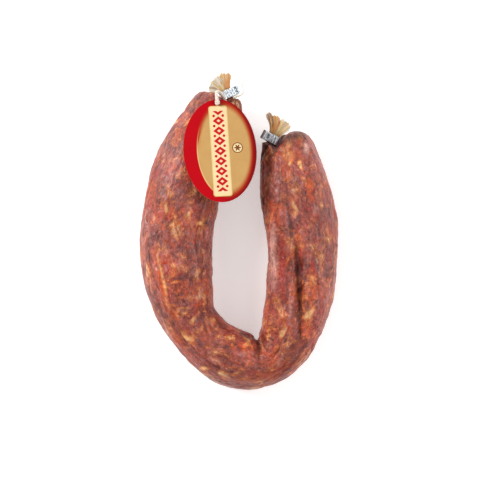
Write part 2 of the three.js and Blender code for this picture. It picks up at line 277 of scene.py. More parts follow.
class NodeBench:
    """One material and the few kinds of node its recipe needs."""

    def __init__(self, name: str) -> None:
        """Makes the material with one Principled shader.

        Args:
            name: The material's name.
        """
        self.material = bpy.data.materials.new(name)
        self.material.use_nodes = True
        self.tree = self.material.node_tree
        self.shader = self.tree.nodes["Principled BSDF"]

    def add(self, kind: str, **settings: object) -> bpy.types.Node:
        """A new node of the kind, with its settings.

        Args:
            kind: The node's type.
            **settings: The fields to set.

        Returns:
            The node.
        """
        node = self.tree.nodes.new(kind)
        for name, value in settings.items():
            setattr(node, name, value)
        return node

    def feed(self, socket: bpy.types.NodeSocket, value: object) -> None:
        """Links a socket to a socket, or sets it to a constant.

        Args:
            socket: The input to fill.
            value: A constant or a socket.
        """
        if isinstance(value, bpy.types.NodeSocket):
            self.tree.links.new(value, socket)
        else:
            socket.default_value = value

    def painted(self, name: str, vector: bool = False) -> bpy.types.NodeSocket:
        """What paint() stored under the name, as a value or as a vector."""
        node = self.add("ShaderNodeAttribute", attribute_name=name)
        return node.outputs["Vector" if vector else "Fac"]

    def object_mm(self) -> bpy.types.NodeSocket:
        """Object coordinates in millimetres."""
        node = self.add("ShaderNodeTexCoord")
        return self.stretched(node.outputs["Object"], (1 / MM, 1 / MM, 1 / MM))

    def stretched(
        self, vector: bpy.types.NodeSocket, scale: tuple[float, float, float], turn: float = 0.0
    ) -> bpy.types.NodeSocket:
        """A vector scaled along its axes, and turned about Z in degrees.

        Args:
            vector: Coordinates in millimetres.
            scale: The factor along each axis.
            turn: The turn in degrees.

        Returns:
            The scaled and turned vector.
        """
        node = self.add("ShaderNodeMapping")
        self.feed(node.inputs["Vector"], vector)
        node.inputs["Scale"].default_value = scale
        node.inputs["Rotation"].default_value = (0, 0, math.radians(turn))
        return node.outputs["Vector"]

    def noise(
        self,
        vector: bpy.types.NodeSocket,
        size: tuple[float, float, float],
        detail: float = 2.0,
        rough: float = 0.5,
        twist: float = 0.0,
    ) -> bpy.types.NodeSocket:
        """Noise with features of the given size along each axis.

        Args:
            vector: Coordinates in millimetres.
            size: The size of a feature along each axis, in millimetres.
            detail: How many finer layers are added.
            rough: How strong the finer layers are.
            twist: How far the noise distorts itself.

        Returns:
            A value from 0 to 1.
        """
        node = self.add("ShaderNodeTexNoise")
        self.feed(node.inputs["Vector"], self.stretched(vector, tuple(1 / s for s in size)))
        node.inputs["Scale"].default_value = 1.0
        node.inputs["Detail"].default_value = detail
        node.inputs["Roughness"].default_value = rough
        node.inputs["Distortion"].default_value = twist
        return node.outputs["Fac"]

    def cells(self, vector: bpy.types.NodeSocket, size: tuple[float, float, float]) -> bpy.types.NodeSocket:
        """Distance to the nearest cell border, for crazed and crackled surfaces.

        Args:
            vector: Coordinates in millimetres.
            size: The size of a cell along each axis, in millimetres.

        Returns:
            The distance.
        """
        node = self.add("ShaderNodeTexVoronoi", feature="DISTANCE_TO_EDGE")
        self.feed(node.inputs["Vector"], self.stretched(vector, tuple(1 / s for s in size)))
        node.inputs["Scale"].default_value = 1.0
        return node.outputs["Distance"]

    def calc(self, operation: str, *values: object) -> bpy.types.NodeSocket:
        """One step of arithmetic on values or sockets.

        Args:
            operation: The kind of arithmetic.
            *values: The values or sockets it works on.

        Returns:
            The result.
        """
        node = self.add("ShaderNodeMath", operation=operation)
        for socket, value in zip(node.inputs, values):
            self.feed(socket, value)
        return node.outputs[0]

    def step(self, value: object, low: float, high: float, top: float = 1.0) -> bpy.types.NodeSocket:
        """A smooth step from 0 at low to top at high.

        Args:
            value: A value or a socket.
            low: The lower end of the range.
            high: The upper end of the range.
            top: The value past the upper end.

        Returns:
            The stepped value.
        """
        node = self.add("ShaderNodeMapRange", interpolation_type="SMOOTHSTEP", clamp=True)
        self.feed(node.inputs["Value"], value)
        node.inputs["From Min"].default_value = low
        node.inputs["From Max"].default_value = high
        node.inputs["To Max"].default_value = top
        return node.outputs["Result"]

    def mix(self, share: object, under: object, over: object, how: str = "MIX") -> bpy.types.NodeSocket:
        """Lays one colour over another.

        Args:
            share: How much of the second value shows, 0 to 1.
            under: What lies underneath.
            over: What lies on top.
            how: How the two colours blend.

        Returns:
            The mixed colour.
        """
        node = self.add("ShaderNodeMix", data_type="RGBA", blend_type=how)
        self.feed(node.inputs["Factor"], share)
        self.feed(node.inputs[6], under)
        self.feed(node.inputs[7], over)
        return node.outputs[2]

    def between(self, share: object, low: float, high: float) -> bpy.types.NodeSocket:
        """A value from low, at share 0, to high, at share 1.

        Args:
            share: How much of the second value shows, 0 to 1.
            low: The lower end of the range.
            high: The upper end of the range.

        Returns:
            The value.
        """
        node = self.add("ShaderNodeMapRange", clamp=True)
        self.feed(node.inputs["Value"], share)
        node.inputs["To Min"].default_value = low
        node.inputs["To Max"].default_value = high
        return node.outputs["Result"]

    def bump(
        self, height: object, strength: float, depth: float, under: object = None
    ) -> bpy.types.NodeSocket:
        """A bump of the given depth in millimetres, over an earlier one.

        Args:
            height: The height to follow.
            strength: How strongly the bump shows.
            depth: How deep it goes, in millimetres.
            under: What lies underneath.

        Returns:
            The bent normal.
        """
        node = self.add("ShaderNodeBump")
        node.inputs["Strength"].default_value = strength
        node.inputs["Distance"].default_value = depth * MM
        self.feed(node.inputs["Height"], height)
        if under is not None:
            self.feed(node.inputs["Normal"], under)
        return node.outputs["Normal"]

    def dress(self, **sockets: object) -> bpy.types.Material:
        """Feeds the shader's sockets, named with underscores for spaces.

        Args:
            **sockets: A constant or a socket for each named input.

        Returns:
            The finished material.
        """
        for name, value in sockets.items():
            self.feed(self.shader.inputs[name.replace("_", " ")], value)
        return self.material


@dataclass(frozen=True)
class CuredMeatFinish:
    """Coarse cured pork seen through a dry, slightly waxy casing."""

    lean: Colour = srgb(150, 66, 50)
    lean_deep: Colour = srgb(98, 34, 26)
    lean_light: Colour = srgb(176, 92, 70)
    rust: Colour = srgb(186, 74, 28)
    red: Colour = srgb(160, 36, 20)
    halo: Colour = srgb(196, 104, 48)
    fat: Colour = srgb(228, 172, 112)
    # Pale pinkish patches, also laid as painted highlights along ridges and down the sides of the arms.
    pale: Colour = srgb(214, 160, 146)
    # Bloom, also laid on the ridges as a painted sheen.
    bloom_and_sheen: Colour = srgb(184, 120, 118)
    # Painted highlight: pale glinting specks of the casing.
    painted_glint: Colour = srgb(232, 190, 164)
    # Dark flecks and dried ends, also laid as painted shade in creases and tucked folds.
    dark: Colour = srgb(62, 22, 18)
    # Painted shade, multiplied into the creases and between the pleats.
    shade: Colour = srgb(116, 60, 52)

    def material(self) -> bpy.types.Material:
        """Makes the finish.

        Returns:
            The material, which reads the body's painted layers.
        """
        bench = NodeBench("cured_meat_in_casing")
        straight = bench.painted("straight", vector=True)
        ragged = bench.noise(straight, (2.4, 3.4, 2.4), 5, 0.68, 0.5)
        colour = self.meat(bench, straight, ragged)
        colour = self.placed(bench, colour, ragged)
        colour = self.surface(bench, colour, straight)
        return bench.dress(
            Base_Color=colour,
            Roughness=bench.between(bench.noise(straight, (2.2, 4, 2.2), 4, 0.65), 0.22, 0.6),
            Normal=self.relief(bench, straight),
            Specular_IOR_Level=0.42,
            Subsurface_Weight=0.08,
            Subsurface_Radius=(1.0, 0.35, 0.2),
            Subsurface_Scale=1.0 * MM,
            Coat_Weight=0.16,
            Coat_Roughness=0.22,
        )

    def relief(self, bench: NodeBench, straight: bpy.types.NodeSocket) -> bpy.types.NodeSocket:
        """The fine lengthwise strands, the crazed skin and the grain of the casing.

        Args:
            bench: The material's bench.
            straight: Coordinates along the straightened sausage.

        Returns:
            The normal.
        """
        strands = bench.noise(straight, (1.8, 4.2, 1.8), 3, 0.62, 0.3)
        crackle = bench.cells(bench.stretched(straight, (1, 1, 1), 18), (1.9, 2.8, 1.9))
        grain = bench.noise(straight, (1.0, 1.5, 1.0), 4, 0.65)
        normal = bench.bump(strands, 0.6, 0.9)
        normal = bench.bump(crackle, 0.6, 0.45, normal)
        return bench.bump(grain, 0.85, 0.7, normal)

    def meat(
        self, bench: NodeBench, straight: bpy.types.NodeSocket, ragged: bpy.types.NodeSocket
    ) -> bpy.types.NodeSocket:
        """The lean, the rusty and red patches and the marbled fat.

        Args:
            bench: The material's bench.
            straight: Coordinates along the straightened sausage.
            ragged: Noise that frays the edges of patches.

        Returns:
            The colour.
        """
        cloud = bench.noise(straight, (7, 10, 7), 5, 0.7, 0.4)
        colour = bench.mix(bench.step(cloud, 0.34, 0.56), self.lean_deep, self.lean)
        colour = bench.mix(bench.step(cloud, 0.54, 0.74), colour, self.lean_light)
        for over, size, turn, low, high, top in (
            (self.rust, (11, 16, 11), 5, 0.47, 0.66, 0.8),
            (self.red, (8.5, 12, 8.5), 12, 0.5, 0.68, 0.7),
            (self.halo, (7, 9.5, 7), -12, 0.5, 0.62, 0.75),
            (self.fat, (7, 9.5, 7), -12, 0.59, 0.74, 0.8),
        ):
            patch = bench.noise(bench.stretched(straight, (1, 1, 1), turn), size, 4, 0.66, 0.5)
            worn = bench.calc("MULTIPLY_ADD", ragged, 0.42, bench.calc("SUBTRACT", patch, 0.21))
            colour = bench.mix(bench.step(worn, low, high, top), colour, over)
        return colour

    def placed(self, bench: NodeBench, colour: object, ragged: object) -> bpy.types.NodeSocket:
        """The spots and streaks that have a place of their own, each with a ragged soft edge.

        Args:
            bench: The material's bench.
            colour: The colour so far.
            ragged: Noise that frays the edges of patches.

        Returns:
            The colour with its spots.
        """
        # The pale tint also lays painted highlights on ridges and sides, and the dark tint painted shade in
        # creases and folds.
        for name, over, low, high in (
            ("tint_rust", self.rust, 0.2, 0.75),
            ("tint_red", self.red, 0.2, 0.75),
            ("tint_pale_and_highlight", self.pale, 0.25, 0.85),
            ("tint_fat", self.halo, 0.14, 0.42),
            ("tint_fat", self.fat, 0.34, 0.8),
            ("tint_dark_and_shade", self.dark, 0.2, 0.9),
        ):
            rim = bench.calc("MULTIPLY_ADD", ragged, 1.5, -0.75)
            mask = bench.calc("MULTIPLY_ADD", bench.painted(name), rim, bench.painted(name))
            colour = bench.mix(bench.step(mask, low, high, 0.9), colour, over)
        return colour

    def tooth(self, bench: NodeBench, colour: object, straight: object) -> bpy.types.NodeSocket:
        """Light and dark grains a millimetre or two across, over broader light and dark areas.

        Args:
            bench: The material's bench.
            colour: The colour so far.
            straight: Coordinates along the straightened sausage.

        Returns:
            The grainy colour.
        """
        grain = bench.step(bench.noise(straight, (1.5, 2.1, 1.5), 4, 0.72), 0.3, 0.7)
        area = bench.step(bench.noise(straight, (16, 24, 16), 3), 0.3, 0.7)
        value = bench.calc("MULTIPLY", bench.between(grain, 0.66, 1.34), bench.between(area, 0.84, 1.16))
        node = bench.add("ShaderNodeHueSaturation")
        bench.feed(node.inputs["Value"], value)
        bench.feed(node.inputs["Color"], colour)
        return node.outputs["Color"]

    def surface(self, bench: NodeBench, colour: object, straight: object) -> bpy.types.NodeSocket:
        """The bloom with its painted sheen on the ridges, painted highlight specks, and painted shade in the
        creases.

        Args:
            bench: The material's bench.
            colour: The colour so far.
            straight: Coordinates along the straightened sausage.

        Returns:
            The finished colour.
        """
        # Bloom with a painted sheen: in pinkish patches, and everywhere on the ridges.
        where = bench.step(bench.noise(straight, (10, 20, 10), 3), 0.36, 0.64)
        where = bench.calc("MAXIMUM", where, bench.painted("ridge"))
        mottle = bench.step(bench.noise(straight, (1.8, 2.9, 1.8), 5, 0.72), 0.42, 0.68)
        bloom_and_sheen = bench.calc("MULTIPLY", bench.calc("MULTIPLY", where, mottle), 0.62)
        colour = bench.mix(bloom_and_sheen, colour, self.bloom_and_sheen)
        # Painted highlight: pale glints scattered over the casing.
        painted_glint = bench.step(bench.noise(straight, (1.2, 1.5, 1.2), 2, 0.75), 0.64, 0.78, 0.6)
        colour = bench.mix(painted_glint, colour, self.painted_glint)
        fleck = bench.step(bench.noise(straight, (1.5, 2.3, 1.5), 3, 0.72), 0.38, 0.26, 0.6)
        colour = bench.mix(fleck, colour, self.dark)
        colour = self.tooth(bench, colour, straight)
        colour = bench.mix(bench.painted("ends"), colour, self.dark)
        # Painted shade in the creases, the hollows of the strokes and between the pleats.
        return bench.mix(bench.painted("crease"), colour, self.shade, "MULTIPLY")


@dataclass(frozen=True)
class DryCasingFinish:
    """Thin dry casing, from milky white to orange tan, with fine veins along its pleats."""

    milky: Colour = srgb(214, 206, 192)
    straw: Colour = srgb(208, 184, 134)
    tan: Colour = srgb(198, 140, 82)
    rind: Colour = srgb(150, 104, 66)
    vein: Colour = srgb(168, 118, 74)

    def material(self) -> bpy.types.Material:
        """Makes the finish.

        Returns:
            The material, which reads the frill's painted layers.
        """
        bench = NodeBench("dry_casing")
        fan = bench.painted("fan", vector=True)
        warm = bench.painted("warm")
        soft = bench.calc("ADD", warm, bench.calc("MULTIPLY_ADD", bench.noise(fan, (2, 5, 2), 3), 0.5, -0.25))
        colour = bench.mix(bench.step(soft, 0.1, 0.5), self.milky, self.straw)
        colour = bench.mix(bench.step(soft, 0.52, 0.9), colour, self.tan)
        veins = bench.noise(fan, (0.7, 7, 2), 4, 0.65, 0.6)
        colour = bench.mix(bench.step(veins, 0.52, 0.74, 0.5), colour, self.vein)
        colour = bench.mix(bench.painted("stain"), colour, self.rind)
        normal = bench.bump(veins, 0.4, 0.2)
        return bench.dress(
            Base_Color=colour,
            Roughness=bench.between(veins, 0.35, 0.6),
            Normal=normal,
            Subsurface_Weight=0.35,
            Subsurface_Radius=(1.0, 0.7, 0.4),
            Subsurface_Scale=0.8 * MM,
            Coat_Weight=0.15,
            Coat_Roughness=0.3,
        )


@dataclass(frozen=True)
class CrimpedMetalFinish:
    """Soft bright aluminium with fine drawing lines and dull smudges, and painted shade in its creases."""

    bright: Colour = srgb(226, 232, 238)
    # Dull smudges, also laid as painted shade in the rib troughs and the notch.
    dull_and_shade: Colour = srgb(150, 162, 170)
    stain: Colour = srgb(110, 92, 82)

    def material(self) -> bpy.types.Material:
        """Makes the finish.

        Returns:
            The material, which reads the clip's painted layers.
        """
        bench = NodeBench("crimped_aluminium")
        place = bench.object_mm()
        smudge = bench.noise(place, (1.4, 1.4, 1.4), 3, 0.6)
        lines = bench.noise(bench.stretched(place, (1, 1, 1), 25), (3, 0.12, 0.3), 2, 0.6)
        colour = bench.mix(bench.step(smudge, 0.4, 0.62, 0.5), self.bright, self.dull_and_shade)
        # Painted shade in the rib troughs and the notch.
        colour = bench.mix(bench.painted("groove"), colour, self.dull_and_shade)
        colour = bench.mix(bench.painted("stain"), colour, self.stain)
        normal = bench.bump(lines, 0.25, 0.06)
        normal = bench.bump(smudge, 0.3, 0.12, normal)
        return bench.dress(
            Base_Color=colour,
            Metallic=0.8,
            Roughness=bench.between(smudge, 0.22, 0.5),
            Normal=normal,
        )


@dataclass(frozen=True)
class TwineFinish:
    """Bleached cotton twine, a little waxy and stained by the meat."""

    cotton: Colour = srgb(236, 228, 214)
    shadow: Colour = srgb(190, 164, 140)

    def material(self) -> bpy.types.Material:
        """Makes the finish.

        Returns:
            The material.
        """
        bench = NodeBench("cotton_twine")
        place = bench.object_mm()
        fibre = bench.noise(place, (0.25, 0.25, 0.25), 3, 0.7)
        stain = bench.noise(place, (3, 3, 3), 2)
        colour = bench.mix(bench.step(fibre, 0.42, 0.66, 0.6), self.cotton, self.shadow)
        colour = bench.mix(bench.step(stain, 0.55, 0.75, 0.4), colour, self.shadow)
        return bench.dress(
            Base_Color=colour,
            Roughness=bench.between(fibre, 0.6, 0.9),
            Normal=bench.bump(fibre, 0.6, 0.12),
            Sheen_Weight=0.25,
            Sheen_Roughness=0.5,
            Subsurface_Weight=0.15,
            Subsurface_Radius=(1.0, 0.8, 0.6),
            Subsurface_Scale=0.4 * MM,
        )


@dataclass(frozen=True)
class PrintedCardFinish:
    """Glossy printed card: a red ground, a tan oval off centre and a cream band with a border."""

    ground: Colour = srgb(184, 0, 16)
    ground_deep: Colour = srgb(132, 4, 10)
    tan: Colour = srgb(198, 156, 96)
    rim: Colour = srgb(172, 50, 20)
    cream: Colour = srgb(238, 212, 162)
    outline: Colour = srgb(232, 196, 132)
    olive: Colour = srgb(128, 132, 66)
    ornament: Colour = srgb(196, 24, 34)
    seal: Colour = srgb(120, 70, 36)
    back: Colour = srgb(214, 204, 188)
    corner: float = 1.4  # radius of the band's corners, in millimetres

    def material(self) -> bpy.types.Material:
        """Makes the finish.

        Returns:
            The material, which reads the card's painted print coordinates in millimetres.
        """
        bench = NodeBench("printed_card")
        parts = bench.add("ShaderNodeSeparateXYZ")
        bench.feed(parts.inputs[0], bench.painted("print", vector=True))
        x, y = parts.outputs[0], parts.outputs[1]
        place = bench.object_mm()
        colour = self.oval_field(bench, x, y)
        colour = self.band(bench, colour, x, y)
        colour = self.seal_mark(bench, colour, x, y)
        fibre = bench.noise(place, (0.6, 0.6, 0.6), 4, 0.7)
        ink = bench.noise(place, (6, 6, 6), 3)
        colour = bench.mix(bench.step(ink, 0.35, 0.75, 0.1), colour, self.ground_deep)
        colour = bench.mix(bench.painted("underside"), colour, self.back)
        return bench.dress(
            Base_Color=colour,
            Roughness=bench.between(fibre, 0.3, 0.45),
            Normal=bench.bump(fibre, 0.12, 0.05),
            Specular_IOR_Level=0.12,
        )

    def oval(
        self, bench: NodeBench, x: object, y: object, centre: tuple[float, float], radii: tuple[float, float]
    ) -> bpy.types.NodeSocket:
        """How far out a point lies, as a share of an oval's radius.

        Args:
            bench: The material's bench.
            x: Across the card, in millimetres.
            y: Up the card, in millimetres.
            centre: The middle of the mark, in millimetres.
            radii: The oval's two radii, in millimetres.

        Returns:
            The distance, 1 on the oval's edge.
        """
        across = bench.calc("DIVIDE", bench.calc("SUBTRACT", x, centre[0]), radii[0])
        along = bench.calc("DIVIDE", bench.calc("SUBTRACT", y, centre[1]), radii[1])
        squares = bench.calc("ADD", bench.calc("POWER", bench.calc("ABSOLUTE", across), 2.0),
                             bench.calc("POWER", bench.calc("ABSOLUTE", along), 2.0))
        return bench.calc("SQRT", squares)

    def box(
        self, bench: NodeBench, x: object, y: object, centre: tuple[float, float], half: tuple[float, float]
    ) -> bpy.types.NodeSocket:
        """A mask that is 1 inside a round-cornered rectangle, with edges a tenth of a millimetre soft.

        Args:
            bench: The material's bench.
            x: Across the card, in millimetres.
            y: Up the card, in millimetres.
            centre: The middle of the mark, in millimetres.
            half: Half the rectangle's width and height, in millimetres.

        Returns:
            The mask.
        """
        squares = []
        for value, middle, reach in ((x, centre[0], half[0]), (y, centre[1], half[1])):
            off = bench.calc("ABSOLUTE", bench.calc("SUBTRACT", value, middle))
            past = bench.calc("MAXIMUM", bench.calc("SUBTRACT", off, reach - self.corner), 0.0)
            squares.append(bench.calc("MULTIPLY", past, past))
        return bench.step(bench.calc("SQRT", bench.calc("ADD", *squares)), self.corner + 0.1, self.corner)

    def oval_field(self, bench: NodeBench, x: object, y: object) -> bpy.types.NodeSocket:
        """The red ground and the tan oval, crisp at its lower left and shaded off elsewhere.

        Args:
            bench: The material's bench.
            x: Across the card, in millimetres.
            y: Up the card, in millimetres.

        Returns:
            The colour.
        """
        colour = bench.mix(bench.step(x, -6, 14), self.ground, self.ground_deep)
        shaded = bench.calc("ADD", bench.step(x, -9, 4), bench.step(y, -2, 17))
        inner = self.oval(bench, x, y, (2.6, 0.4), (15.2, 25.9))
        soft = bench.calc("MULTIPLY", bench.calc("MINIMUM", shaded, 1.0), 0.14)
        depth = bench.calc("SUBTRACT", bench.calc("MULTIPLY_ADD", soft, 0.25, 1.0), inner)
        colour = bench.mix(bench.step(depth, -0.03, 0.08), colour, self.rim)
        crisp = bench.step(bench.calc("SUBTRACT", bench.calc("SUBTRACT", 1.0, inner), soft), -0.015, 0.015)
        glow = bench.step(depth, 0.03, 0.19)
        share = bench.calc("DIVIDE", soft, 0.14)
        inside = bench.calc("ADD", bench.calc("MULTIPLY", glow, share),
                            bench.calc("MULTIPLY", crisp, bench.calc("SUBTRACT", 1.0, share)))
        colour = bench.mix(inside, colour, self.tan)
        line = bench.calc("ABSOLUTE", bench.calc("SUBTRACT", inner, 0.99))
        pale = bench.calc("MULTIPLY", bench.step(line, 0.022, 0.006), bench.calc("SUBTRACT", 1.0, share))
        return bench.mix(bench.calc("MULTIPLY", pale, 0.8), colour, self.outline)

    def band(self, bench: NodeBench, colour: object, x: object, y: object) -> bpy.types.NodeSocket:
        """The cream band down the middle with its pale and olive outlines and a border.

        Args:
            bench: The material's bench.
            colour: The colour so far.
            x: Across the card, in millimetres.
            y: Up the card, in millimetres.

        Returns:
            The colour with the band.
        """
        centre = (0.1, -0.2)
        for half, over, top in (
            ((5.25, 25.2), self.olive, 0.5),
            ((5.1, 25.05), self.outline, 0.9),
            ((4.55, 24.6), self.cream, 1.0),
        ):
            mask = bench.calc("MULTIPLY", self.box(bench, x, y, centre, half), top)
            colour = bench.mix(mask, colour, over)
        return bench.mix(self.border(bench, x, y, centre), colour, self.ornament)

    def border(
        self, bench: NodeBench, x: object, y: object, centre: tuple[float, float]
    ) -> bpy.types.NodeSocket:
        """A chain of lozenges, each with a pair of dots between it and the next.

        Args:
            bench: The material's bench.
            x: Across the card, in millimetres.
            y: Up the card, in millimetres.
            centre: The middle of the mark, in millimetres.

        Returns:
            The mask of the marks.
        """
        pitch = 5.6
        along = bench.calc("ADD", y, 100.5 * pitch - centre[1])
        cell = bench.calc("SUBTRACT", bench.calc("MODULO", along, pitch), pitch / 2)
        across = bench.calc("ABSOLUTE", bench.calc("SUBTRACT", x, centre[0]))
        high = bench.calc("ABSOLUTE", cell)
        reach = bench.calc("ADD", bench.calc("DIVIDE", across, 3.2), bench.calc("DIVIDE", high, 2.5))
        lozenge = bench.step(reach, 1.03, 0.97)
        heart = bench.step(reach, 0.3, 0.36)
        lozenge = bench.calc("MULTIPLY", lozenge, heart)
        far = bench.calc("SUBTRACT", pitch / 2, high)
        spot = bench.calc("SUBTRACT", across, 2.5)
        squares = [bench.calc("MULTIPLY", off, off) for off in (far, spot)]
        dots = bench.step(bench.calc("SQRT", bench.calc("ADD", *squares)), 0.8, 0.7)
        inside = self.box(bench, x, y, centre, (3.6, 22.3))
        return bench.calc("MULTIPLY", bench.calc("MAXIMUM", lozenge, dots), inside)

    def seal_mark(self, bench: NodeBench, colour: object, x: object, y: object) -> bpy.types.NodeSocket:
        """A small plain rosette to the right of the band.

        Args:
            bench: The material's bench.
            colour: The colour so far.
            x: Across the card, in millimetres.
            y: Up the card, in millimetres.

        Returns:
            The colour with the rosette.
        """
        centre = (9.6, 1.2)
        out = self.oval(bench, x, y, centre, (2.9, 2.9))
        colour = bench.mix(bench.step(out, 1.05, 0.98), colour, self.seal)
        colour = bench.mix(bench.step(out, 0.88, 0.8), colour, self.cream)
        off = [bench.calc("SUBTRACT", value, middle) for value, middle in ((y, centre[1]), (x, centre[0]))]
        turns = bench.calc("MULTIPLY", bench.calc("ARCTAN2", *off), 6.0)
        petals = bench.calc("MULTIPLY_ADD", bench.calc("COSINE", turns), 0.18, 0.5)
        inside = bench.step(bench.calc("SUBTRACT", petals, out), -0.03, 0.05)
        return bench.mix(inside, colour, self.seal)


@dataclass(frozen=True)
class TableFinish:
    """A plain pale floor."""

    paint: Colour = srgb(250, 250, 250)

    def material(self) -> bpy.types.Material:
        """Makes the finish.

        Returns:
            The material.
        """
        bench = NodeBench("pale_floor")
        return bench.dress(
            Base_Color=self.paint,
            Roughness=0.9,
            Specular_IOR_Level=0.1,
            Emission_Color=self.paint,
            Emission_Strength=0.4,
        )


# ------------------------------------------------------------------ the sausage


class End(Enum):
    """The two closed ends of the sausage."""

    LEFT = "left"
    RIGHT = "right"


@dataclass(frozen=True)
class Neck:
    """Where the casing is gathered: the neck's root, its direction and the lobe that rises beside it."""

    root: tuple[float, float, float]
    out_degrees: float
    lobe_centre: tuple[float, float, float]
    lobe_radii: tuple[float, float, float]
    gap: float  # how far along the neck the skin may reach before it would touch string or clip
    darkness: float  # of the dried meat round the neck

    def axes(self) -> tuple[np.ndarray, np.ndarray, np.ndarray]:
        """The directions across the neck, out along it and up.

        Returns:
            Three unit vectors.
        """
        angle = math.radians(self.out_degrees)
        out = np.array([math.cos(angle), math.sin(angle), 0.0])
        across = np.array([out[1], -out[0], 0.0])
        return across, out, np.array([0.0, 0.0, 1.0])

    def local(self, points: np.ndarray) -> np.ndarray:
        """Points of the frame as across, out and up from the root.

        Args:
            points: Points in millimetres, one a row.

        Returns:
            One row of three for each point.
        """
        across, out, up = self.axes()
        off = points - np.array(self.root)
        return np.stack([off @ across, off @ out, off @ up], 1)

    def world(self, points: np.ndarray) -> np.ndarray:
        """Points given as across, out and up from the root, in the frame."""
        across, out, up = self.axes()
        return np.array(self.root) + points[:, :1] * across + points[:, 1:2] * out + points[:, 2:3] * up


NECKS = {
    End.LEFT: Neck((-4.5, 72.58, 15.0), 115, (-2.4, 70.2, 15.5), (4.2, 5.6, 8.5), 0.5, 0.34),
    End.RIGHT: Neck((16.93, 47.53, 15.0), 62, (16.8, 45.8, 15.0), (4.2, 5.6, 8.5), 2.0, 0.7),
}


class Tint(Enum):
    """The colours that spots and streaks of the meat take; the pale one also paints highlights and the dark one
    also paints shade.
    """

    FAT = "tint_fat"
    RUST = "tint_rust"
    RED = "tint_red"
    # Pale patches, and painted highlights along ridges and down the sides.
    PALE_AND_HIGHLIGHT = "tint_pale_and_highlight"
    # Dark flecks, and painted shade in creases and folds.
    DARK = "tint_dark_and_shade"


@dataclass(frozen=True)
class Spot:
    """A soft patch of colour on the upper side: its place, size, turn and strength."""

    x: float
    y: float
    length: float
    width: float
    turn: float
    tint: Tint
    strength: float = 1.0


@dataclass(frozen=True)
class Stroke:
    """A crease, a ridge or a streak along a line of points on the upper side."""

    points: tuple[tuple[float, float], ...]
    width: float
    depth: float = 0.0
    lip: float = 0.0
    tint: Tint | None = None
    strength: float = 1.0

    def reach(self, place: np.ndarray) -> tuple[np.ndarray, np.ndarray]:
        """Each point's distance from the line, and how far along it the nearest spot is.

        Args:
            place: Points in the plane, in millimetres.

        Returns:
            The distances in millimetres, and shares of the line's length.
        """
        best = np.full(len(place), 1e9)
        share = np.zeros(len(place))
        ends = np.array(self.points, float)
        lengths = np.linalg.norm(np.diff(ends, axis=0), axis=1)
        done = 0.0
        for start, stop, length in zip(ends, ends[1:], lengths):
            way = (stop - start) / length
            at = np.clip((place - start) @ way, 0, length)
            off = np.linalg.norm(place - start - at[:, None] * way, axis=1)
            nearer = off < best
            best = np.where(nearer, off, best)
            share = np.where(nearer, (done + at) / lengths.sum(), share)
            done += length
        return best, share


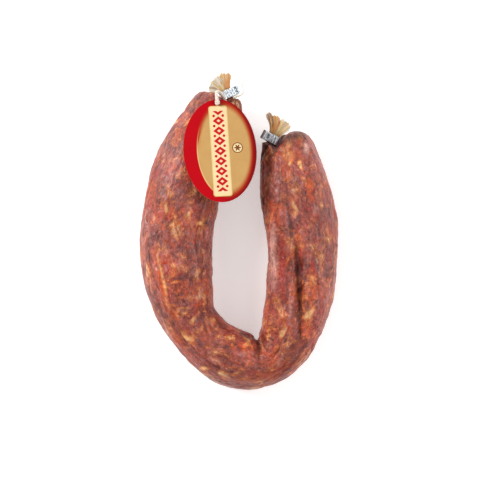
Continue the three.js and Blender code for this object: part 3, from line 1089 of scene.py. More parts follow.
@dataclass
class SausageBody:
    """The body: filled casing whose surface dried into folds, creases and puckers."""

    voxel: float = 0.72
    fold_depth: float = 0.75
    pucker_depth: float = 0.42
    pucker_count: int = 13
    pucker_reach: float = 24.0  # from the neck's root
    dark_reach: float = 13.0
    neck_reach: float = 15.0  # of the smoothed skin
    neck_smoothing: int = 10
    route: tuple[tuple[float, float], ...] = (
        (-9.5, 82.0), (-12.4, 72.3), (-16.2, 61.5), (-22.4, 46.6), (-28.6, 31.5),
        (-33.1, 13.6), (-35.1, -7.5), (-33.8, -25.5), (-30.3, -39.8), (-25.8, -51.0),
        (-16.8, -61.7), (-6.5, -68.6), (5.2, -72.2), (14.9, -72.5), (21.4, -67.8),
        (26.3, -60.5), (30.4, -50.3), (33.5, -37.5), (35.2, -14.1), (34.6, 4.8),
        (31.8, 20.8), (29.4, 33.6), (27.7, 43.0), (26.6, 53.0), (24.5, 60.0),
    )
    strokes: tuple[Stroke, ...] = (
        # The deep groove down the right arm, and the folds beside it, with painted shade in them; the pale
        # streaks on the ridges beside them are painted highlights
        Stroke(((25.6, 26.0), (27.4, 12.0), (29.4, 2.0), (31.6, -9.7), (32.8, -24.0)),
               1.8, 1.3, 0.5, Tint.DARK, 0.15),
        Stroke(((31.0, -7.0), (32.6, -20.0), (33.3, -34.7), (33.8, -50.0), (33.2, -63.0)),
               1.7, 2.6, 0.9, Tint.DARK, 0.42),
        Stroke(((23.4, -59.0), (21.2, -65.0), (18.0, -70.5)), 0.8, 1.2, 0.3, Tint.DARK, 0.5),
        Stroke(((12.4, -57.5), (11.6, -62.0), (11.0, -67.0), (11.2, -73.0)), 1.6, 1.5, 0.5, Tint.DARK, 0.4),
        Stroke(((18.6, 12.0), (18.9, -10.0), (19.2, -38.0)), 2.4, -0.9, 0.0, Tint.PALE_AND_HIGHLIGHT, 0.7),
        Stroke(((23.0, 4.0), (23.4, -20.0), (23.8, -46.0)), 2.0, 0.8, 0.0, Tint.RED, 0.7),
        Stroke(((27.4, -26.0), (28.2, -42.0), (28.0, -56.0)), 2.0, -0.8, 0.0, Tint.PALE_AND_HIGHLIGHT, 0.5),
        # The diagonal ridge and streaks of the left arm, and creases with painted shade in them
        Stroke(((-48.0, 0.0), (-45.0, -18.0), (-41.0, -37.0), (-35.0, -47.5), (-29.0, -54.0)),
               2.2, -0.8, 0.2, Tint.RUST, 0.75),
        Stroke(((-45.5, -4.0), (-42.6, -20.0), (-38.8, -38.0), (-33.5, -46.5)),
               1.0, -0.4, 0.2, Tint.FAT, 0.62),
        Stroke(((-20.0, -45.5), (-18.6, -50.5), (-17.0, -56.0)), 0.8, 1.1, 0.3, Tint.DARK, 0.5),
        Stroke(((-13.0, -46.0), (-9.5, -50.5), (-4.5, -53.5)), 0.8, 0.8, 0.2, Tint.DARK, 0.35),
        Stroke(((-32.0, 6.0), (-31.0, -4.0), (-30.4, -14.0)), 1.0, 0.7, 0.2, Tint.DARK, 0.3),
        # The striped pleats of the small lobe beside the left clip, with painted shade in the crease between them
        Stroke(((-3.6, 77.5), (-3.2, 72.0), (-2.8, 64.0)), 1.0, 0.3, 0.0, Tint.FAT, 0.95),
        Stroke(((-0.8, 78.0), (-0.2, 71.0), (0.3, 62.0)), 1.0, 0.3, 0.0, Tint.FAT, 0.95),
        Stroke(((-2.1, 78.0), (-1.7, 71.0), (-1.3, 62.0)), 0.5, 0.6, 0.0, Tint.DARK, 0.4),
        Stroke(((-6.4, 75.5), (-6.2, 68.0)), 0.9, 0.0, 0.0, Tint.RUST, 0.95),
        # The pale crease beside the right clip
        Stroke(((19.8, 50.6), (22.6, 52.4), (26.2, 53.2)), 0.45, -0.5, 0.3, Tint.PALE_AND_HIGHLIGHT, 0.9),
    )
    # The long pale patches down the sides of the arms are painted highlights; the large dark ones round the right
    # neck and at the lower bend, where it tucks under the right arm, are painted shade.
    spots: tuple[Spot, ...] = (
        Spot(-39.5, 13.6, 7, 2.6, 100, Tint.FAT, 0.75),
        Spot(-27.8, 10.3, 4, 2.6, 60, Tint.FAT, 0.8),
        Spot(-21.1, 4.7, 3.2, 2.6, 60, Tint.FAT, 0.7),
        Spot(-45.6, -18.6, 3.5, 2, 100, Tint.PALE_AND_HIGHLIGHT, 0.8),
        Spot(-23.9, -21.9, 4, 2.2, 70, Tint.FAT, 0.75),
        Spot(-35.0, -26.4, 6, 2.6, 10, Tint.RUST, 0.9),
        Spot(-35.0, -26.4, 4, 1.6, 10, Tint.FAT, 0.6),
        Spot(-24.5, -48.6, 5.5, 3.2, 60, Tint.FAT, 0.7),
        Spot(-28.3, -57.5, 9, 2.6, -50, Tint.FAT, 0.75),
        Spot(-18.9, -75.3, 4.5, 3, -30, Tint.FAT, 0.9),
        Spot(-8.9, -78.6, 5.5, 3.6, -10, Tint.FAT, 0.85),
        Spot(-13.3, -48.6, 3.5, 2.4, 60, Tint.FAT, 0.7),
        Spot(-7.2, -52.5, 3.2, 2.2, -30, Tint.RUST, 0.9),
        Spot(21.1, 13.6, 5, 1.8, 100, Tint.RUST, 0.8),
        Spot(29.6, 14.5, 9, 1.8, 98, Tint.FAT, 0.8),
        Spot(34.4, 37.5, 4, 2.6, 110, Tint.FAT, 0.9),
        Spot(27.2, 38.1, 2.6, 2, 90, Tint.FAT, 1.0),
        Spot(36.4, 45.0, 6, 4, 100, Tint.PALE_AND_HIGHLIGHT, 0.95),
        Spot(26.5, 43.5, 9, 7, 80, Tint.FAT, 0.55),
        Spot(26.6, 33.6, 10, 4.5, 95, Tint.RUST, 1.0),
        Spot(27.5, 55.5, 32, 12, 8, Tint.DARK, 0.8),
        Spot(14.5, 46.0, 7, 11, 60, Tint.DARK, 0.5),
        Spot(33.9, 2.0, 5, 2.6, 80, Tint.RED, 0.9),
        Spot(39.4, -9.1, 1.6, 1.4, 0, Tint.DARK, 0.9),
        Spot(40.0, -18.0, 6, 2.6, 100, Tint.RED, 1.0),
        Spot(43.4, -14.7, 4, 2, 100, Tint.PALE_AND_HIGHLIGHT, 0.8),
        Spot(38.4, -43.0, 7, 3, 60, Tint.FAT, 0.85),
        Spot(23.6, -55.5, 7, 2, 75, Tint.FAT, 0.8),
        Spot(42.2, -33.0, 7, 3.4, 60, Tint.RUST, 0.95),
        Spot(-46.5, 22.0, 8, 4, 80, Tint.RUST, 0.7),
        Spot(-41.0, 3.0, 6, 4, 70, Tint.RUST, 0.6),
        Spot(-20.5, -33.0, 8, 4, 95, Tint.PALE_AND_HIGHLIGHT, 0.5),
        Spot(-13.0, -70.0, 9, 5, -20, Tint.PALE_AND_HIGHLIGHT, 0.45),
        Spot(2.0, -66.0, 10, 6, -10, Tint.PALE_AND_HIGHLIGHT, 0.45),
        Spot(24.0, -70.5, 9, 5, 40, Tint.PALE_AND_HIGHLIGHT, 0.5),
        Spot(36.5, -52.0, 9, 6, 60, Tint.RUST, 0.7),
        Spot(45.0, -24.0, 14, 3, 92, Tint.PALE_AND_HIGHLIGHT, 0.5),
        Spot(42.0, 14.0, 9, 4, 105, Tint.PALE_AND_HIGHLIGHT, 0.5),
        Spot(38.5, 26.0, 7, 3.5, 105, Tint.RUST, 0.8),
        Spot(30.5, 28.0, 6, 3, 95, Tint.PALE_AND_HIGHLIGHT, 0.5),
        Spot(36.0, 44.5, 6, 3, 110, Tint.PALE_AND_HIGHLIGHT, 0.5),
        Spot(-34.5, -12.0, 8, 5, 95, Tint.PALE_AND_HIGHLIGHT, 0.4),
        Spot(-32.2, 1.4, 7, 5, 100, Tint.DARK, 0.35),
        Spot(5.0, -57.5, 13, 6, -25, Tint.DARK, 0.55),
        Spot(-50.5, 6.0, 16, 1.8, 92, Tint.PALE_AND_HIGHLIGHT, 0.55),
        Spot(-31.0, 62.0, 12, 3, 66, Tint.PALE_AND_HIGHLIGHT, 0.45),
        Spot(-36.0, 34.0, 11, 4, 75, Tint.RUST, 0.7),
    )

    def build(self) -> bpy.types.Object:
        """Makes the body's skin, shapes it and paints its layers.

        Returns:
            The finished mesh.
        """
        piece = copy_of("sausage_body", "sausage")
        apply_modifier(piece, "SUBSURF", levels=2, render_levels=2)
        piece = join([piece, *(self.lobe(neck) for neck in NECKS.values())], "sausage")
        set_places(piece, self.clear_of_clips(places(piece)))
        apply_modifier(piece, "REMESH", mode="VOXEL", voxel_size=self.voxel * MM)
        apply_modifier(piece, "SMOOTH", factor=0.5, iterations=4)
        self.settle_necks(piece)
        place = places(piece)
        normal = normals(piece)
        straight = self.straighten(place)
        upper = smooth(normal[:, 2], -0.2, 0.35)
        free = smooth(place[:, 2], 0.3, 4.0)
        rise, crease = self.folds(straight)
        marks, tints = self.marks(place, upper)
        puckers, ends, pleats = self.puckers(place, upper)
        rise = (rise * self.calm(place, upper) + puckers) * free + marks
        moved = self.clear_of_clips(place + normal * rise[:, None])
        moved[:, 2] = np.maximum(moved[:, 2], 0)
        set_places(piece, moved)
        shade_smooth(piece)
        paint(piece, "straight", straight)
        # Painted shade: the creases, the hollows of the strokes and the gaps between pleats, darkened in the
        # finish.
        paint(piece, "crease", np.clip(crease + 0.6 * smooth(-marks, 0.5, 2.4) + pleats, 0, 1))
        # Where the finish lays its painted sheen: on the ridges.
        paint(piece, "ridge", smooth(rise, 0.35, 1.3))
        paint(piece, "ends", ends)
        for tint, values in tints.items():
            paint(piece, tint.value, values)
        return piece

    def straighten(self, place: np.ndarray) -> np.ndarray:
        """Where each point would lie if the sausage were pulled straight.

        Args:
            place: Points in millimetres.

        Returns:
            Sideways, along and up for each point, in millimetres.
        """
        line = np.array(self.route)
        steps = np.linalg.norm(np.diff(line, axis=0), axis=1)
        total = np.concatenate([[0], np.cumsum(steps)])
        fine = np.linspace(0, total[-1], 400)
        axis = np.stack([np.interp(fine, total, line[:, i]) for i in (0, 1)], 1)
        kernel = np.ones(15) / 15
        padded = np.pad(axis, ((7, 7), (0, 0)), mode="edge")
        axis = np.stack([np.convolve(padded[:, i], kernel, "valid") for i in (0, 1)], 1)
        way = np.gradient(axis, axis=0)
        way /= np.linalg.norm(way, axis=1)[:, None]
        side = np.stack([way[:, 1], -way[:, 0]], 1)
        nearest = np.concatenate([
            np.argmin(((part[:, None, :2] - axis[None]) ** 2).sum(2), 1)
            for part in np.array_split(place, 200)
        ])
        off = place[:, :2] - axis[nearest]
        along = fine[nearest] + (off * way[nearest]).sum(1)
        return np.stack([(off * side[nearest]).sum(1), along, place[:, 2]], 1)

    def lobe(self, neck: Neck) -> bpy.types.Object:
        """The plump lobe that fills the hollow behind a clip.

        Args:
            neck: The neck that it fills behind.

        Returns:
            The ellipsoid.
        """
        deselect()
        bpy.ops.mesh.primitive_uv_sphere_add(segments=64, ring_count=40, radius=1)
        piece = bpy.context.object
        set_places(piece, np.array(neck.lobe_centre) + places(piece) * MM * np.array(neck.lobe_radii))
        return piece

    def settle_necks(self, piece: bpy.types.Object) -> None:
        """Smooths the skin round the necks, where the lobes were pressed back.

        Args:
            piece: The piece.
        """
        place = places(piece)
        weight = np.zeros(len(place))
        for neck in NECKS.values():
            local = neck.local(place)
            off_neck = smooth(np.hypot(local[:, 0], local[:, 2]), 2.2, 3.4)
            near = smooth(np.linalg.norm(local, axis=1), self.neck_reach, 0.6 * self.neck_reach)
            weight = np.maximum(weight, near * off_neck)
        group = piece.vertex_groups.new(name="round_the_necks")
        for index in np.nonzero(weight > 0.02)[0].tolist():
            group.add([index], float(weight[index]), "REPLACE")
        apply_modifier(piece, "SMOOTH", factor=0.5, iterations=self.neck_smoothing, vertex_group=group.name)
        piece.vertex_groups.clear()

    def calm(self, place: np.ndarray, upper: np.ndarray) -> np.ndarray:
        """The share of its folds that the skin keeps: few on the drawn walls round the necks.

        Args:
            place: Points in millimetres.
            upper: 1 on the upper side, 0 on the underside.
        """
        away = np.min([np.linalg.norm(place - np.array(neck.root), axis=1) for neck in NECKS.values()], 0)
        return 1 - 0.75 * smooth(away, 20.0, 12.0) * (1 - upper)

    def clear_of_clips(self, place: np.ndarray) -> np.ndarray:
        """Presses the lobes back from the clips, so that each clip lies clear in its dimple.

        Args:
            place: Points in millimetres.

        Returns:
            The points, moved back towards the body along each neck.
        """
        for end, neck in NECKS.items():
            local = neck.local(place)
            side = 1 if end is End.LEFT else -1
            beside = smooth(side * local[:, 0], -5.6, -3.6) * smooth(np.abs(local[:, 0]), 15.0, 10.0)
            off_neck = smooth(np.hypot(local[:, 0], local[:, 2]), 2.6, 4.0)
            above = smooth(local[:, 2], -6.0, -1.5)
            limit = neck.gap - 0.024 * np.maximum(local[:, 2], 0) ** 2
            limit -= 0.05 * np.maximum(np.abs(local[:, 0]) - 4.0, 0) ** 2
            over = np.maximum(local[:, 1] - limit, 0)
            local[:, 1] -= 0.94 * over * beside * off_neck * above
            place = neck.world(local)
        return place

    def folds(self, straight: np.ndarray) -> tuple[np.ndarray, np.ndarray]:
        """The swells, lengthwise folds and fine wrinkles of the dried casing.

        Args:
            straight: Points of the straightened sausage, in millimetres.

        Returns:
            The height over the smooth skin, and how deep in a crease each point is, 0 to 1, for the painted shade
            in the creases.
        """
        swell = 0.9 * field_noise(straight, (17, 30, 17))
        patch = smooth(field_noise(straight + 40, (22, 45, 22), 1), -0.25, 0.35)
        long_fold = (1 - np.abs(field_noise(straight + 90, (7.5, 42, 7.5)))) ** 7
        short_fold = (1 - np.abs(field_noise(straight + 150, (4.2, 13, 4.2)))) ** 6
        wrinkle = field_noise(straight + 210, (2.3, 5.5, 2.3))
        pimple = field_noise(straight + 270, (1.9, 2.4, 1.9), 1)
        folds = self.fold_depth * (long_fold * patch + 0.5 * short_fold * (1 - 0.5 * patch))
        lump = 0.4 * field_noise(straight + 330, (6.5, 8.5, 6.5))
        height = swell + lump - folds + 0.22 * wrinkle + 0.12 * pimple
        # How deep in a crease each point is, for the painted shade there.
        crease = 0.5 * smooth(long_fold * patch, 0.4, 1.0) + 0.35 * smooth(short_fold, 0.5, 1.0)
        return height, crease

    def marks(self, place: np.ndarray, upper: np.ndarray) -> tuple[np.ndarray, dict[Tint, np.ndarray]]:
        """The creases, ridges and colours that have a place of their own.

        Args:
            place: Points in millimetres.
            upper: 1 on the upper side, 0 on the underside.

        Returns:
            The height that they add, and the strength of each tint.
        """
        height = np.zeros(len(place))
        tints = {tint: np.zeros(len(place)) for tint in Tint}
        wander = np.stack([field_noise(place + k * 60, (9, 9, 9)) for k in (1, 2)], 1)
        flat = place[:, :2] + 0.9 * wander
        patchy = place[:, :2] + 2.6 * wander
        for stroke in self.strokes:
            off, share = stroke.reach(flat)
            fade = np.sqrt(np.sin(np.pi * np.clip(share, 0.004, 0.996)))
            core = np.exp(-((off / stroke.width) ** 2))
            lips = np.exp(-(((off - 2.2 * stroke.width) / stroke.width) ** 2))
            height += (stroke.lip * lips - stroke.depth * core) * fade * upper
            if stroke.tint:
                tone = stroke.strength * fade * upper * np.exp(-((off / (1.15 * stroke.width)) ** 2))
                tints[stroke.tint] = np.maximum(tints[stroke.tint], tone)
        for spot in self.spots:
            turn = math.radians(spot.turn)
            off = patchy - np.array([spot.x, spot.y])
            along = off[:, 0] * math.cos(turn) + off[:, 1] * math.sin(turn)
            across = off[:, 1] * math.cos(turn) - off[:, 0] * math.sin(turn)
            spread = (2 * along / spot.length) ** 2 + (2 * across / spot.width) ** 2
            tone = spot.strength * upper * np.exp(-0.6 * spread)
            tints[spot.tint] = np.maximum(tints[spot.tint], tone)
        return height, tints

    def puckers(self, place: np.ndarray, upper: np.ndarray) -> tuple[np.ndarray, np.ndarray, np.ndarray]:
        """The pleats that radiate from each neck, and the dark of the dried ends.

        Args:
            place: Points in millimetres.
            upper: 1 on the upper side, 0 on the underside.

        Returns:
            The height of the pleats, the darkness of the ends and the painted shade between pleats.
        """
        height = np.zeros(len(place))
        ends = np.zeros(len(place))
        pleat_shade = np.zeros(len(place))
        for number, neck in enumerate(NECKS.values()):
            local = neck.local(place)
            away = np.linalg.norm(local, axis=1)
            angle = np.arctan2(local[:, 2], local[:, 0])
            wobble = field_noise(place + 30 * number, (8, 8, 8))
            wave = np.sin(self.pucker_count * angle + 2.6 * wobble)
            band = smooth(away, 2.0, 6.0) * smooth(away, self.pucker_reach, 7.0)
            height += self.pucker_depth * band * wave * (0.3 + 0.7 * upper)
            # Painted shade in the troughs between the pleats.
            pleat_shade += 0.6 * band * smooth(-wave, 0.2, 1.0)
            ends = np.maximum(ends, neck.darkness * smooth(away, self.dark_reach, 4.0))
        return height, ends, pleat_shade


# ------------------------------------------------------------------ clips, frills, tag, string


@dataclass
class CrimpClip:
    """An aluminium clip crimped round a neck, ribbed across its length and notched near one end."""

    end: End
    length: float = 10.6
    offset: float = 2.0
    voxel: float = 0.17
    ribs: int = 7
    rib_depth: float = 0.2
    rib_slant: float = 0.55
    rib_centre: float = 1.2
    notch_at: float = 3.5
    notch_reach: float = 3.0
    tab_stain: float = 0.0
    widening: float = 1.12
    notch_depth: float = 0.9
    middle: float = 4.8  # of the clip, along the neck from its root

    def build(self) -> bpy.types.Object:
        """Makes the clip.

        Returns:
            The finished mesh.
        """
        neck = NECKS[self.end]
        side = 1 if self.end is End.LEFT else -1
        piece = copy_of(f"{self.end.value}_clip", f"{self.end.value}_crimp_clip")
        apply_modifier(piece, "REMESH", mode="VOXEL", voxel_size=self.voxel * MM)
        apply_modifier(piece, "SMOOTH", factor=0.5, iterations=7)
        normal = normals(piece)
        local = neck.local(places(piece))
        across, out, up = neck.axes()
        along = side * local[:, 0] - self.offset  # from the clip's middle, towards its notched end
        pitch = 0.62 * self.length / self.ribs
        phase = (along - side * self.rib_slant * (local[:, 1] - self.middle)) / pitch
        ribs = np.cos(2 * np.pi * phase) * smooth(np.abs(along - self.rib_centre), 4.1, 3.2)
        outside = smooth(np.abs(local[:, 0]) + np.abs(local[:, 2]), 2.9, 3.6)
        notch = np.exp(-(((along - self.notch_at) / 0.45) ** 2)) * smooth(normal @ up, 0.0, 0.6)
        notch *= smooth(np.abs(local[:, 1] - self.middle), self.notch_reach + 0.5, self.notch_reach)
        dents = field_noise(local + 10, (1.6, 1.6, 1.6))
        height = (self.rib_depth * 0.5 * (ribs - 1) - self.notch_depth * notch + 0.07 * dents) * outside
        moved = local + height[:, None] * np.stack([normal @ across, normal @ out, normal @ up], 1)
        moved[:, 1] = self.middle + self.widening * (moved[:, 1] - self.middle)
        set_places(piece, neck.world(moved))
        shade_smooth(piece)
        # Where the finish paints shade: the rib troughs and the notch.
        paint(piece, "groove", np.clip(0.7 * smooth(-ribs, 0.3, 1.0) * outside + notch, 0, 1))
        paint(piece, "stain", self.tab_stain * smooth(along, 0.3 * self.length, 0.4 * self.length))
        return piece


@dataclass(frozen=True)
class Leaf:
    """One leaf of a frill: the angles it spans, in degrees from the neck's axis, and its form."""

    start: float
    stop: float
    reach: float
    rise: float
    warm: float
    pleats: float = 2.0
    wave: float = 0.6
    stain: float = 0.0


@dataclass
class CasingFrill:
    """The dry casing past a clip, opened into thin overlapping leaves."""

    end: End
    leaves: tuple[Leaf, ...]
    base: float = 5.9
    stalk: float = 2.4
    spread: float = 2.6
    bundle_radius: float = 2.3
    thickness: float = 0.22
    across_steps: int = 40
    out_steps: int = 20

    def build(self) -> bpy.types.Object:
        """Makes the frill.

        Returns:
            The finished mesh.
        """
        parts = [self.leaf(number, leaf) for number, leaf in enumerate(self.leaves)]
        parts.append(self.bundle())
        piece = join(parts, f"{self.end.value}_frill")
        shade_smooth(piece)
        return piece

    def bundle(self) -> bpy.types.Object:
        """The gathered casing that fills the clip's hole and runs out into the leaves.

        Returns:
            The bundle's mesh.
        """
        deselect()
        bpy.ops.mesh.primitive_cylinder_add(vertices=72, radius=1, depth=2)
        piece = bpy.context.object
        bpy.ops.object.mode_set(mode="EDIT")
        bpy.ops.mesh.select_all(action="SELECT")
        bpy.ops.mesh.bisect(plane_co=(0, 0, -0.6), plane_no=(0, 0, 1))
        for height in (-0.2, 0.1, 0.3, 0.5, 0.7, 0.85):
            bpy.ops.mesh.select_all(action="SELECT")
            bpy.ops.mesh.bisect(plane_co=(0, 0, height), plane_no=(0, 0, 1))
        bpy.ops.object.mode_set(mode="OBJECT")
        blank = places(piece) * MM
        angle = np.arctan2(blank[:, 1], blank[:, 0])
        share = (blank[:, 2] + 1) / 2
        pleat = 1 + 0.12 * np.sin(11 * angle + 2 * np.sin(2 * angle)) * smooth(share, 0.0, 0.4)
        radius = self.bundle_radius * pleat * (1 - 0.75 * smooth(share, 0.45, 1.0))
        flat = 1 - 0.35 * smooth(share, 0.4, 1.0)
        local = np.stack([
            radius * np.cos(angle) * np.hypot(blank[:, 0], blank[:, 1]),
            self.base - 1.0 + 3.4 * share,
            radius * flat * np.sin(angle) * np.hypot(blank[:, 0], blank[:, 1]) + 0.4 * share,
        ], 1)
        set_places(piece, NECKS[self.end].world(local))
        paint(piece, "fan", np.stack([3 * angle, 6 * share, np.full(len(angle), 9.0)], 1))
        paint(piece, "warm", np.full(len(angle), 0.6))
        paint(piece, "stain", 0.75 * smooth(share, 0.9, 0.3))
        recalculate(piece)
        return piece

    def leaf(self, number: int, leaf: Leaf) -> bpy.types.Object:
        """Shapes one leaf from a grid and gives it its thickness.

        Args:
            number: The leaf's place in the frill.
            leaf: Its form.

        Returns:
            The leaf's mesh.
        """
        deselect()
        bpy.ops.mesh.primitive_grid_add(
            x_subdivisions=self.across_steps, y_subdivisions=self.out_steps, size=2
        )
        piece = bpy.context.object
        grid = places(piece) * MM
        u = grid[:, 0]
        v = (grid[:, 1] + 1) / 2
        which = 7.0 * number + (0 if self.end is End.LEFT else 50)
        seed = np.stack([u * 3, v * 2, np.full(len(u), which)], 1)
        rough = field_noise(seed, (1, 1, 1))
        torn = field_noise(seed * np.array([4, 1, 1]), (1, 1, 1))
        angle = np.radians(leaf.start + (leaf.stop - leaf.start) * (u + 1) / 2) * v**0.35
        dome = 1 - 0.2 * u**4
        radius = leaf.reach * v * (dome + v * (0.1 * rough + 0.06 * torn))
        lean = self.spread * math.sin(math.radians((leaf.start + leaf.stop) / 2))
        gather = (self.stalk * u + lean) * (1 - v) ** 1.2
        ripple = leaf.wave * np.sin(np.pi * leaf.pleats * u + 1.3 * number + 1.2 * rough) * v
        lift = leaf.rise * v**0.7 + 0.5 * rough * v + 0.35 * np.cos(9 * u + number) * v
        height = ripple + lift + 0.25 * (number - 1) * (1 - v)
        local = np.stack([radius * np.sin(angle) + gather, self.base + radius * np.cos(angle), height], 1)
        set_places(piece, NECKS[self.end].world(local))
        paint(piece, "fan", np.stack([u * 6 + 20 * number, v * leaf.reach, np.full(len(u), 3.0 * number)], 1))
        paint(piece, "warm", np.clip(leaf.warm + 0.35 * rough - 0.5 * (v - 0.45), 0, 1))
        stain = 0.7 * smooth(v, 0.3, 0.0) + 0.35 * smooth(torn * v, 0.25, 0.6)
        paint(piece, "stain", np.maximum(leaf.stain, stain))
        apply_modifier(piece, "SOLIDIFY", thickness=self.thickness * MM, offset=0.0)
        apply_modifier(piece, "SUBSURF", levels=1, render_levels=1)
        recalculate(piece)
        return piece


@dataclass
class HangTag:
    """The oval card with its punched hole, bowed a little where it lies on the arm."""

    width: float = 40.0
    length: float = 57.0
    thickness: float = 0.5
    hole_radius: float = 1.0
    hole_inset: float = 2.4
    turn_degrees: tuple[float, float, float] = (-8.0, 5.0, 3.0)
    bow: float = 1.1
    bevel: float = 0.12
    steps: tuple[int, int] = (90, 126)

    def centre(self) -> np.ndarray:
        """The middle of the card, which is the middle of its CAD box."""
        low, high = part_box("tag")
        return np.array((low + high) / 2) / MM

    def turn(self) -> np.ndarray:
        """How the card is turned, as a matrix."""
        return np.array(Euler([math.radians(a) for a in self.turn_degrees], "XYZ").to_matrix())

    def hole(self) -> np.ndarray:
        """The middle of the hole, in the card's own plane."""
        return np.array([0, self.length / 2 - self.hole_inset])

    def to_world(self, local: np.ndarray) -> np.ndarray:
        """Points of the card's own plane, in the frame."""
        return local @ self.turn().T + self.centre()

    def build(self) -> bpy.types.Object:
        """Makes the card.

        Returns:
            The finished mesh.
        """
        deselect()
        bpy.ops.mesh.primitive_grid_add(x_subdivisions=self.steps[0], y_subdivisions=self.steps[1], size=2)
        piece = bpy.context.object
        piece.name = "tag_card"
        self.punch(piece)
        grid = places(piece) * MM
        flat = self.oval(grid)
        hole = self.hole()
        off = flat - hole
        away = np.linalg.norm(off, axis=1)
        near = smooth(away, 3.2, 1.2)[:, None]
        rim = hole + off / np.maximum(away, 1e-6)[:, None] * self.hole_radius
        edge = self.hole_rim(piece)
        flat = np.where(edge[:, None], rim, flat)
        curl = self.bow * (0.35 - (2 * flat[:, 0] / self.width) ** 2) * 0.8
        curl += 0.15 * field_noise(np.column_stack([flat, np.zeros(len(flat))]), (16, 16, 16), 1)
        curl *= 1 - near[:, 0]
        local = np.column_stack([flat, curl])
        set_places(piece, self.to_world(local))
        paint(piece, "print", np.column_stack([flat, curl]))
        apply_modifier(piece, "SOLIDIFY", thickness=self.thickness * MM, offset=0.0)
        recalculate(piece)
        paint(piece, "underside", smooth(normals(piece) @ self.turn()[:, 2], 0.3, -0.3))
        sharp = math.radians(50)
        apply_modifier(piece, "BEVEL", width=self.bevel * MM, segments=2, limit_method="ANGLE", angle_limit=sharp)
        take(piece)
        bpy.ops.object.shade_smooth_by_angle(angle=math.radians(40))
        return piece

    def oval(self, grid: np.ndarray) -> np.ndarray:
        """A square grid drawn out into the card's oval, in millimetres.

        Args:
            grid: Points of a square from -1 to 1.

        Returns:
            Points of the oval.
        """
        x, y = grid[:, 0], grid[:, 1]
        return np.stack([
            self.width / 2 * x * np.sqrt(1 - y * y / 2),
            self.length / 2 * y * np.sqrt(1 - x * x / 2),
        ], 1)

    def punch(self, piece: bpy.types.Object) -> None:
        """Deletes the faces where the hole goes.

        Args:
            piece: The piece.
        """
        hole = self.hole()
        flat = self.oval(places(piece) * MM)
        inside = np.linalg.norm(flat - hole, axis=1) < self.hole_radius * 0.9
        take(piece)
        bpy.ops.object.mode_set(mode="EDIT")
        bpy.ops.mesh.select_all(action="DESELECT")
        bpy.ops.object.mode_set(mode="OBJECT")
        piece.data.vertices.foreach_set("select", inside)
        bpy.ops.object.mode_set(mode="EDIT")
        bpy.ops.mesh.delete(type="VERT")
        bpy.ops.object.mode_set(mode="OBJECT")

    def hole_rim(self, piece: bpy.types.Object) -> np.ndarray:
        """Which points lie on the rim of the hole.

        Args:
            piece: The piece.

        Returns:
            True for each point on the rim.
        """
        uses: dict[tuple[int, int], int] = {}
        for face in piece.data.polygons:
            for key in face.edge_keys:
                uses[key] = uses.get(key, 0) + 1
        rim = np.zeros(len(piece.data.vertices), bool)
        flat = self.oval(places(piece) * MM)
        hole = self.hole()
        close = np.linalg.norm(flat - hole, axis=1) < 2 * self.hole_radius
        for key, count in uses.items():
            if count == 1:
                rim[list(key)] = True
        return rim & close


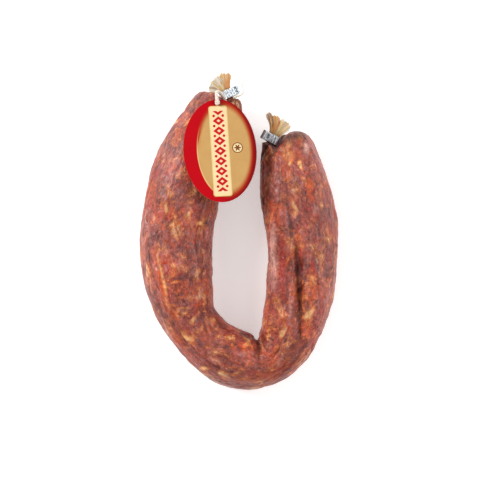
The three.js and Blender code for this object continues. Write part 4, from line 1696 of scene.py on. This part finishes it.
@dataclass
class TagString:
    """The twisted string: a turn round the left neck, then over the tag's edge and down its hole."""

    radius: float = 1.0
    strands: int = 3
    lay: float = 4.4
    strand: tuple[tuple[float, float, float], ...] = (
        (1.7, 82.9, 16.5), (2.2, 80.4, 16.0), (2.4, 77.9, 16.0), (1.0, 76.3, 16.8),
        (-0.8, 75.7, 18.2), (-2.4, 75.1, 18.2), (-2.9, 75.1, 13.1), (-5.2, 74.0, 11.8), (-7.5, 73.0, 13.1),
        (-7.6, 72.9, 18.2), (-8.3, 74.6, 20.4), (-10.0, 76.6, 23.0), (-11.4, 77.5, 26.5),
        (-12.3, 76.8, 30.2), (-12.1, 73.9, 33.0), (-11.8, 71.1, 34.2),
    )
    loop: tuple[tuple[float, float, float], ...] = (
        (-11.8, 71.1, 34.2), (-11.9, 70.4, 32.5), (-12.0, 70.3, 31.8), (-12.1, 70.7, 30.8),
        (-12.3, 72.9, 30.5), (-12.2, 73.7, 31.7), (-12.1, 73.9, 33.0),
    )

    def build(self) -> bpy.types.Object:
        """Makes the string with its knot and its frayed end.

        Returns:
            The finished mesh.
        """
        parts = []
        for route, opens in ((self.strand, True), (self.loop, False)):
            line = self.smooth_line(np.array(route))
            run = np.linspace(0, 1, len(line))
            full = 0.3 + 0.7 * smooth(run, 0.08, 0.26) if opens else np.ones(len(line))
            for number in range(self.strands):
                parts.append(self.tube(self.twisted(line, number, full), 0.46 * self.radius, 0.35, full))
        parts.append(self.tube(self.knot(np.array(self.strand[-1])), 0.62 * self.radius, 0.35))
        parts += [self.tube(points, 0.09, 0.3) for points in self.fray()]
        piece = join(parts, "twisted_string")
        shade_smooth(piece)
        return piece

    def smooth_line(self, points: np.ndarray) -> np.ndarray:
        """A smooth line through the points, with a step of about a quarter of a millimetre.

        Args:
            points: Points in millimetres, one a row.

        Returns:
            The line.
        """
        rows = np.vstack([2 * points[0] - points[1], points, 2 * points[-1] - points[-2]])
        line = []
        for a, b, c, d in zip(rows, rows[1:], rows[2:], rows[3:]):
            count = max(2, int(np.linalg.norm(c - b) / 0.25))
            for t in np.linspace(0, 1, count, endpoint=False):
                line.append(0.5 * (2 * b + (c - a) * t + (2 * a - 5 * b + 4 * c - d) * t**2
                                   + (3 * b - a - 3 * c + d) * t**3))
        line.append(points[-1])
        return np.array(line)

    def twisted(self, line: np.ndarray, number: int, full: np.ndarray) -> np.ndarray:
        """One strand's path as it winds round the string's line.

        Args:
            line: The line of the whole string, in millimetres.
            number: The strand's number.
            full: The share of the thickness at each point.

        Returns:
            The path.
        """
        way = np.gradient(line, axis=0)
        way /= np.linalg.norm(way, axis=1)[:, None]
        side = np.cross(way, np.array([0.3, 0.5, 0.81]))
        side /= np.linalg.norm(side, axis=1)[:, None]
        other = np.cross(way, side)
        run = np.concatenate([[0], np.cumsum(np.linalg.norm(np.diff(line, axis=0), axis=1))])
        angle = 2 * np.pi * (run / self.lay + number / self.strands)
        out = 0.5 * self.radius * full[:, None]
        return line + out * (np.cos(angle)[:, None] * side + np.sin(angle)[:, None] * other)

    def knot(self, centre: np.ndarray) -> np.ndarray:
        """An overhand knot drawn tight.

        Args:
            centre: The middle of the mark, in millimetres.

        Returns:
            The path of the knot.
        """
        t = np.linspace(0, 2 * np.pi, 60)
        ring = 0.85 + 0.35 * np.cos(3 * t)
        return centre + np.stack([
            0.85 * ring * np.cos(2 * t), 0.75 * ring * np.sin(2 * t), 0.5 * np.sin(3 * t)
        ], 1)

    def fray(self) -> list[np.ndarray]:
        """The loose fibres of the free end.

        Returns:
            One path for each fibre.
        """
        tip, before = np.array(self.strand[0]), np.array(self.strand[1])
        way = (tip - before) / np.linalg.norm(tip - before)
        fibres = []
        for number in range(7):
            turn = 2.4 * number
            side = np.array([math.cos(turn), 0.3 * math.sin(turn), math.sin(turn)])
            reach = 0.7 + 0.2 * (number % 3)
            t = np.linspace(0, 1, 8)[:, None]
            fibres.append(tip - 0.5 * way + 0.3 * side * (1 - t) + reach * way * t + 0.6 * side * t * t)
        return fibres

    def tube(
        self, points: np.ndarray, radius: float, taper: float, full: np.ndarray | None = None
    ) -> bpy.types.Object:
        """A closed tube along the points, narrowed at its ends.

        Args:
            points: The path in millimetres.
            radius: The tube's radius in millimetres.
            taper: The share of the radius that its ends keep.
            full: The share of the radius that it has at each point.

        Returns:
            The tube's mesh.
        """
        curve = bpy.data.curves.new("strand", "CURVE")
        curve.dimensions = "3D"
        curve.bevel_depth = radius * MM
        curve.bevel_resolution = 1
        curve.use_fill_caps = True
        line = curve.splines.new("POLY")
        line.points.add(len(points) - 1)
        for number, (point, place) in enumerate(zip(line.points, points * MM)):
            point.co = (*place, 1)
            near_end = min(number, len(points) - 1 - number) / 2
            point.radius = min(1.0, taper + (1 - taper) * near_end)
            if full is not None:
                point.radius *= full[number]
        piece = bpy.data.objects.new("strand", curve)
        bpy.context.scene.collection.objects.link(piece)
        take(piece)
        bpy.ops.object.convert(target="MESH")
        return bpy.context.object


# ------------------------------------------------------------------ the studio


@dataclass
class Studio:
    """A pale floor, soft light and a camera that looks straight down."""

    floor_size: float = 6.0
    aim: tuple[float, float] = (0.55, -4.14)
    camera_height: float = 1018.0
    lens: float = 135.0
    film: float = 36.0
    surround: float = 0.52
    lamps: tuple[tuple[str, tuple[float, float, float], float, float], ...] = (
        ("key", (-0.85, 0.45, 0.62), 0.4, 10.5),
        ("fill", (0.9, 0.15, 0.6), 0.5, 5.5),
    )

    def build(self) -> None:
        """Sets up the floor, the lights and the camera."""
        self.floor()
        self.sky()
        for lamp in self.lamps:
            self.lamp(*lamp)
        self.camera()

    def floor(self) -> None:
        """A plane far wider than the view."""
        deselect()
        bpy.ops.mesh.primitive_plane_add(size=self.floor_size)
        plane = bpy.context.object
        plane.name = "floor"
        plane.data.materials.append(TableFinish().material())

    def sky(self) -> None:
        """An even white surround."""
        world = bpy.data.worlds.new("surround")
        world.use_nodes = True
        backdrop = world.node_tree.nodes["Background"]
        backdrop.inputs["Color"].default_value = (1.0, 1.0, 1.0, 1.0)
        backdrop.inputs["Strength"].default_value = self.surround
        bpy.context.scene.world = world
        bpy.context.scene.view_settings.view_transform = "Standard"

    def lamp(self, name: str, place: tuple[float, float, float], size: float, power: float) -> None:
        """A soft square lamp that points at the object.

        Args:
            name: The lamp's name.
            place: Where it stands, in metres.
            size: The side of its panel, in metres.
            power: Its power in watts.
        """
        data = bpy.data.lights.new(name, "AREA")
        data.size = size
        data.energy = power
        lamp = bpy.data.objects.new(name, data)
        bpy.context.scene.collection.objects.link(lamp)
        lamp.location = place
        lamp.rotation_euler = (-Vector(place)).to_track_quat("-Z", "Y").to_euler()

    def camera(self) -> None:
        """A long lens straight above, with +Y up in the picture."""
        data = bpy.data.cameras.new("camera")
        data.lens = self.lens
        data.sensor_width = self.film
        camera = bpy.data.objects.new("camera", data)
        bpy.context.scene.collection.objects.link(camera)
        camera.location = (self.aim[0] * MM, self.aim[1] * MM, self.camera_height * MM)
        bpy.context.scene.camera = camera


LEFT_LEAVES = (
    Leaf(-68, -24, 10.2, 1.0, -0.1, pleats=1.6, wave=0.6),
    Leaf(-42, 8, 10.4, 2.6, 0.42, pleats=1.5, wave=0.8),
    Leaf(-4, 44, 10.9, 2.0, 0.85, pleats=1.3, wave=0.6),
)
RIGHT_LEAVES = (
    Leaf(-50, -33, 14.4, 1.6, 0.25, pleats=0.9, wave=0.5, stain=0.6),
    Leaf(-42, -10, 12.3, 2.4, 0.95, pleats=1.4, wave=0.8),
    Leaf(-17, 37, 11.3, 1.8, 0.5, pleats=1.6, wave=0.7),
)


def main() -> None:
    """Builds the sausage, its clips, frills, tag and string, and the studio round them."""
    logging.basicConfig(level=logging.INFO, format="%(name)s %(message)s")
    Studio().build()
    seat(SausageBody().build(), CuredMeatFinish().material(), "cured_meat_in_casing", "sausage_body")
    metal = CrimpedMetalFinish().material()
    casing = DryCasingFinish().material()
    left_clip = CrimpClip(End.LEFT)
    right_clip = CrimpClip(
        End.RIGHT, ribs=5, rib_depth=0.05, rib_slant=0.2, rib_centre=-2.0, notch_at=1.6, notch_reach=0.9,
        notch_depth=0.6, tab_stain=0.75
    )
    for end, clip, leaves in ((End.LEFT, left_clip, LEFT_LEAVES), (End.RIGHT, right_clip, RIGHT_LEAVES)):
        seat(clip.build(), metal, "clip_metal", f"{end.value}_clip")
        seat(CasingFrill(end, leaves).build(), casing, "dry_casing", f"{end.value}_casing_tail")
    seat(HangTag().build(), PrintedCardFinish().material(), "tag_card", "tag")
    seat(TagString().build(), TwineFinish().material(), "tag_string", "tag_string")


if __name__ == "__main__":
    main()
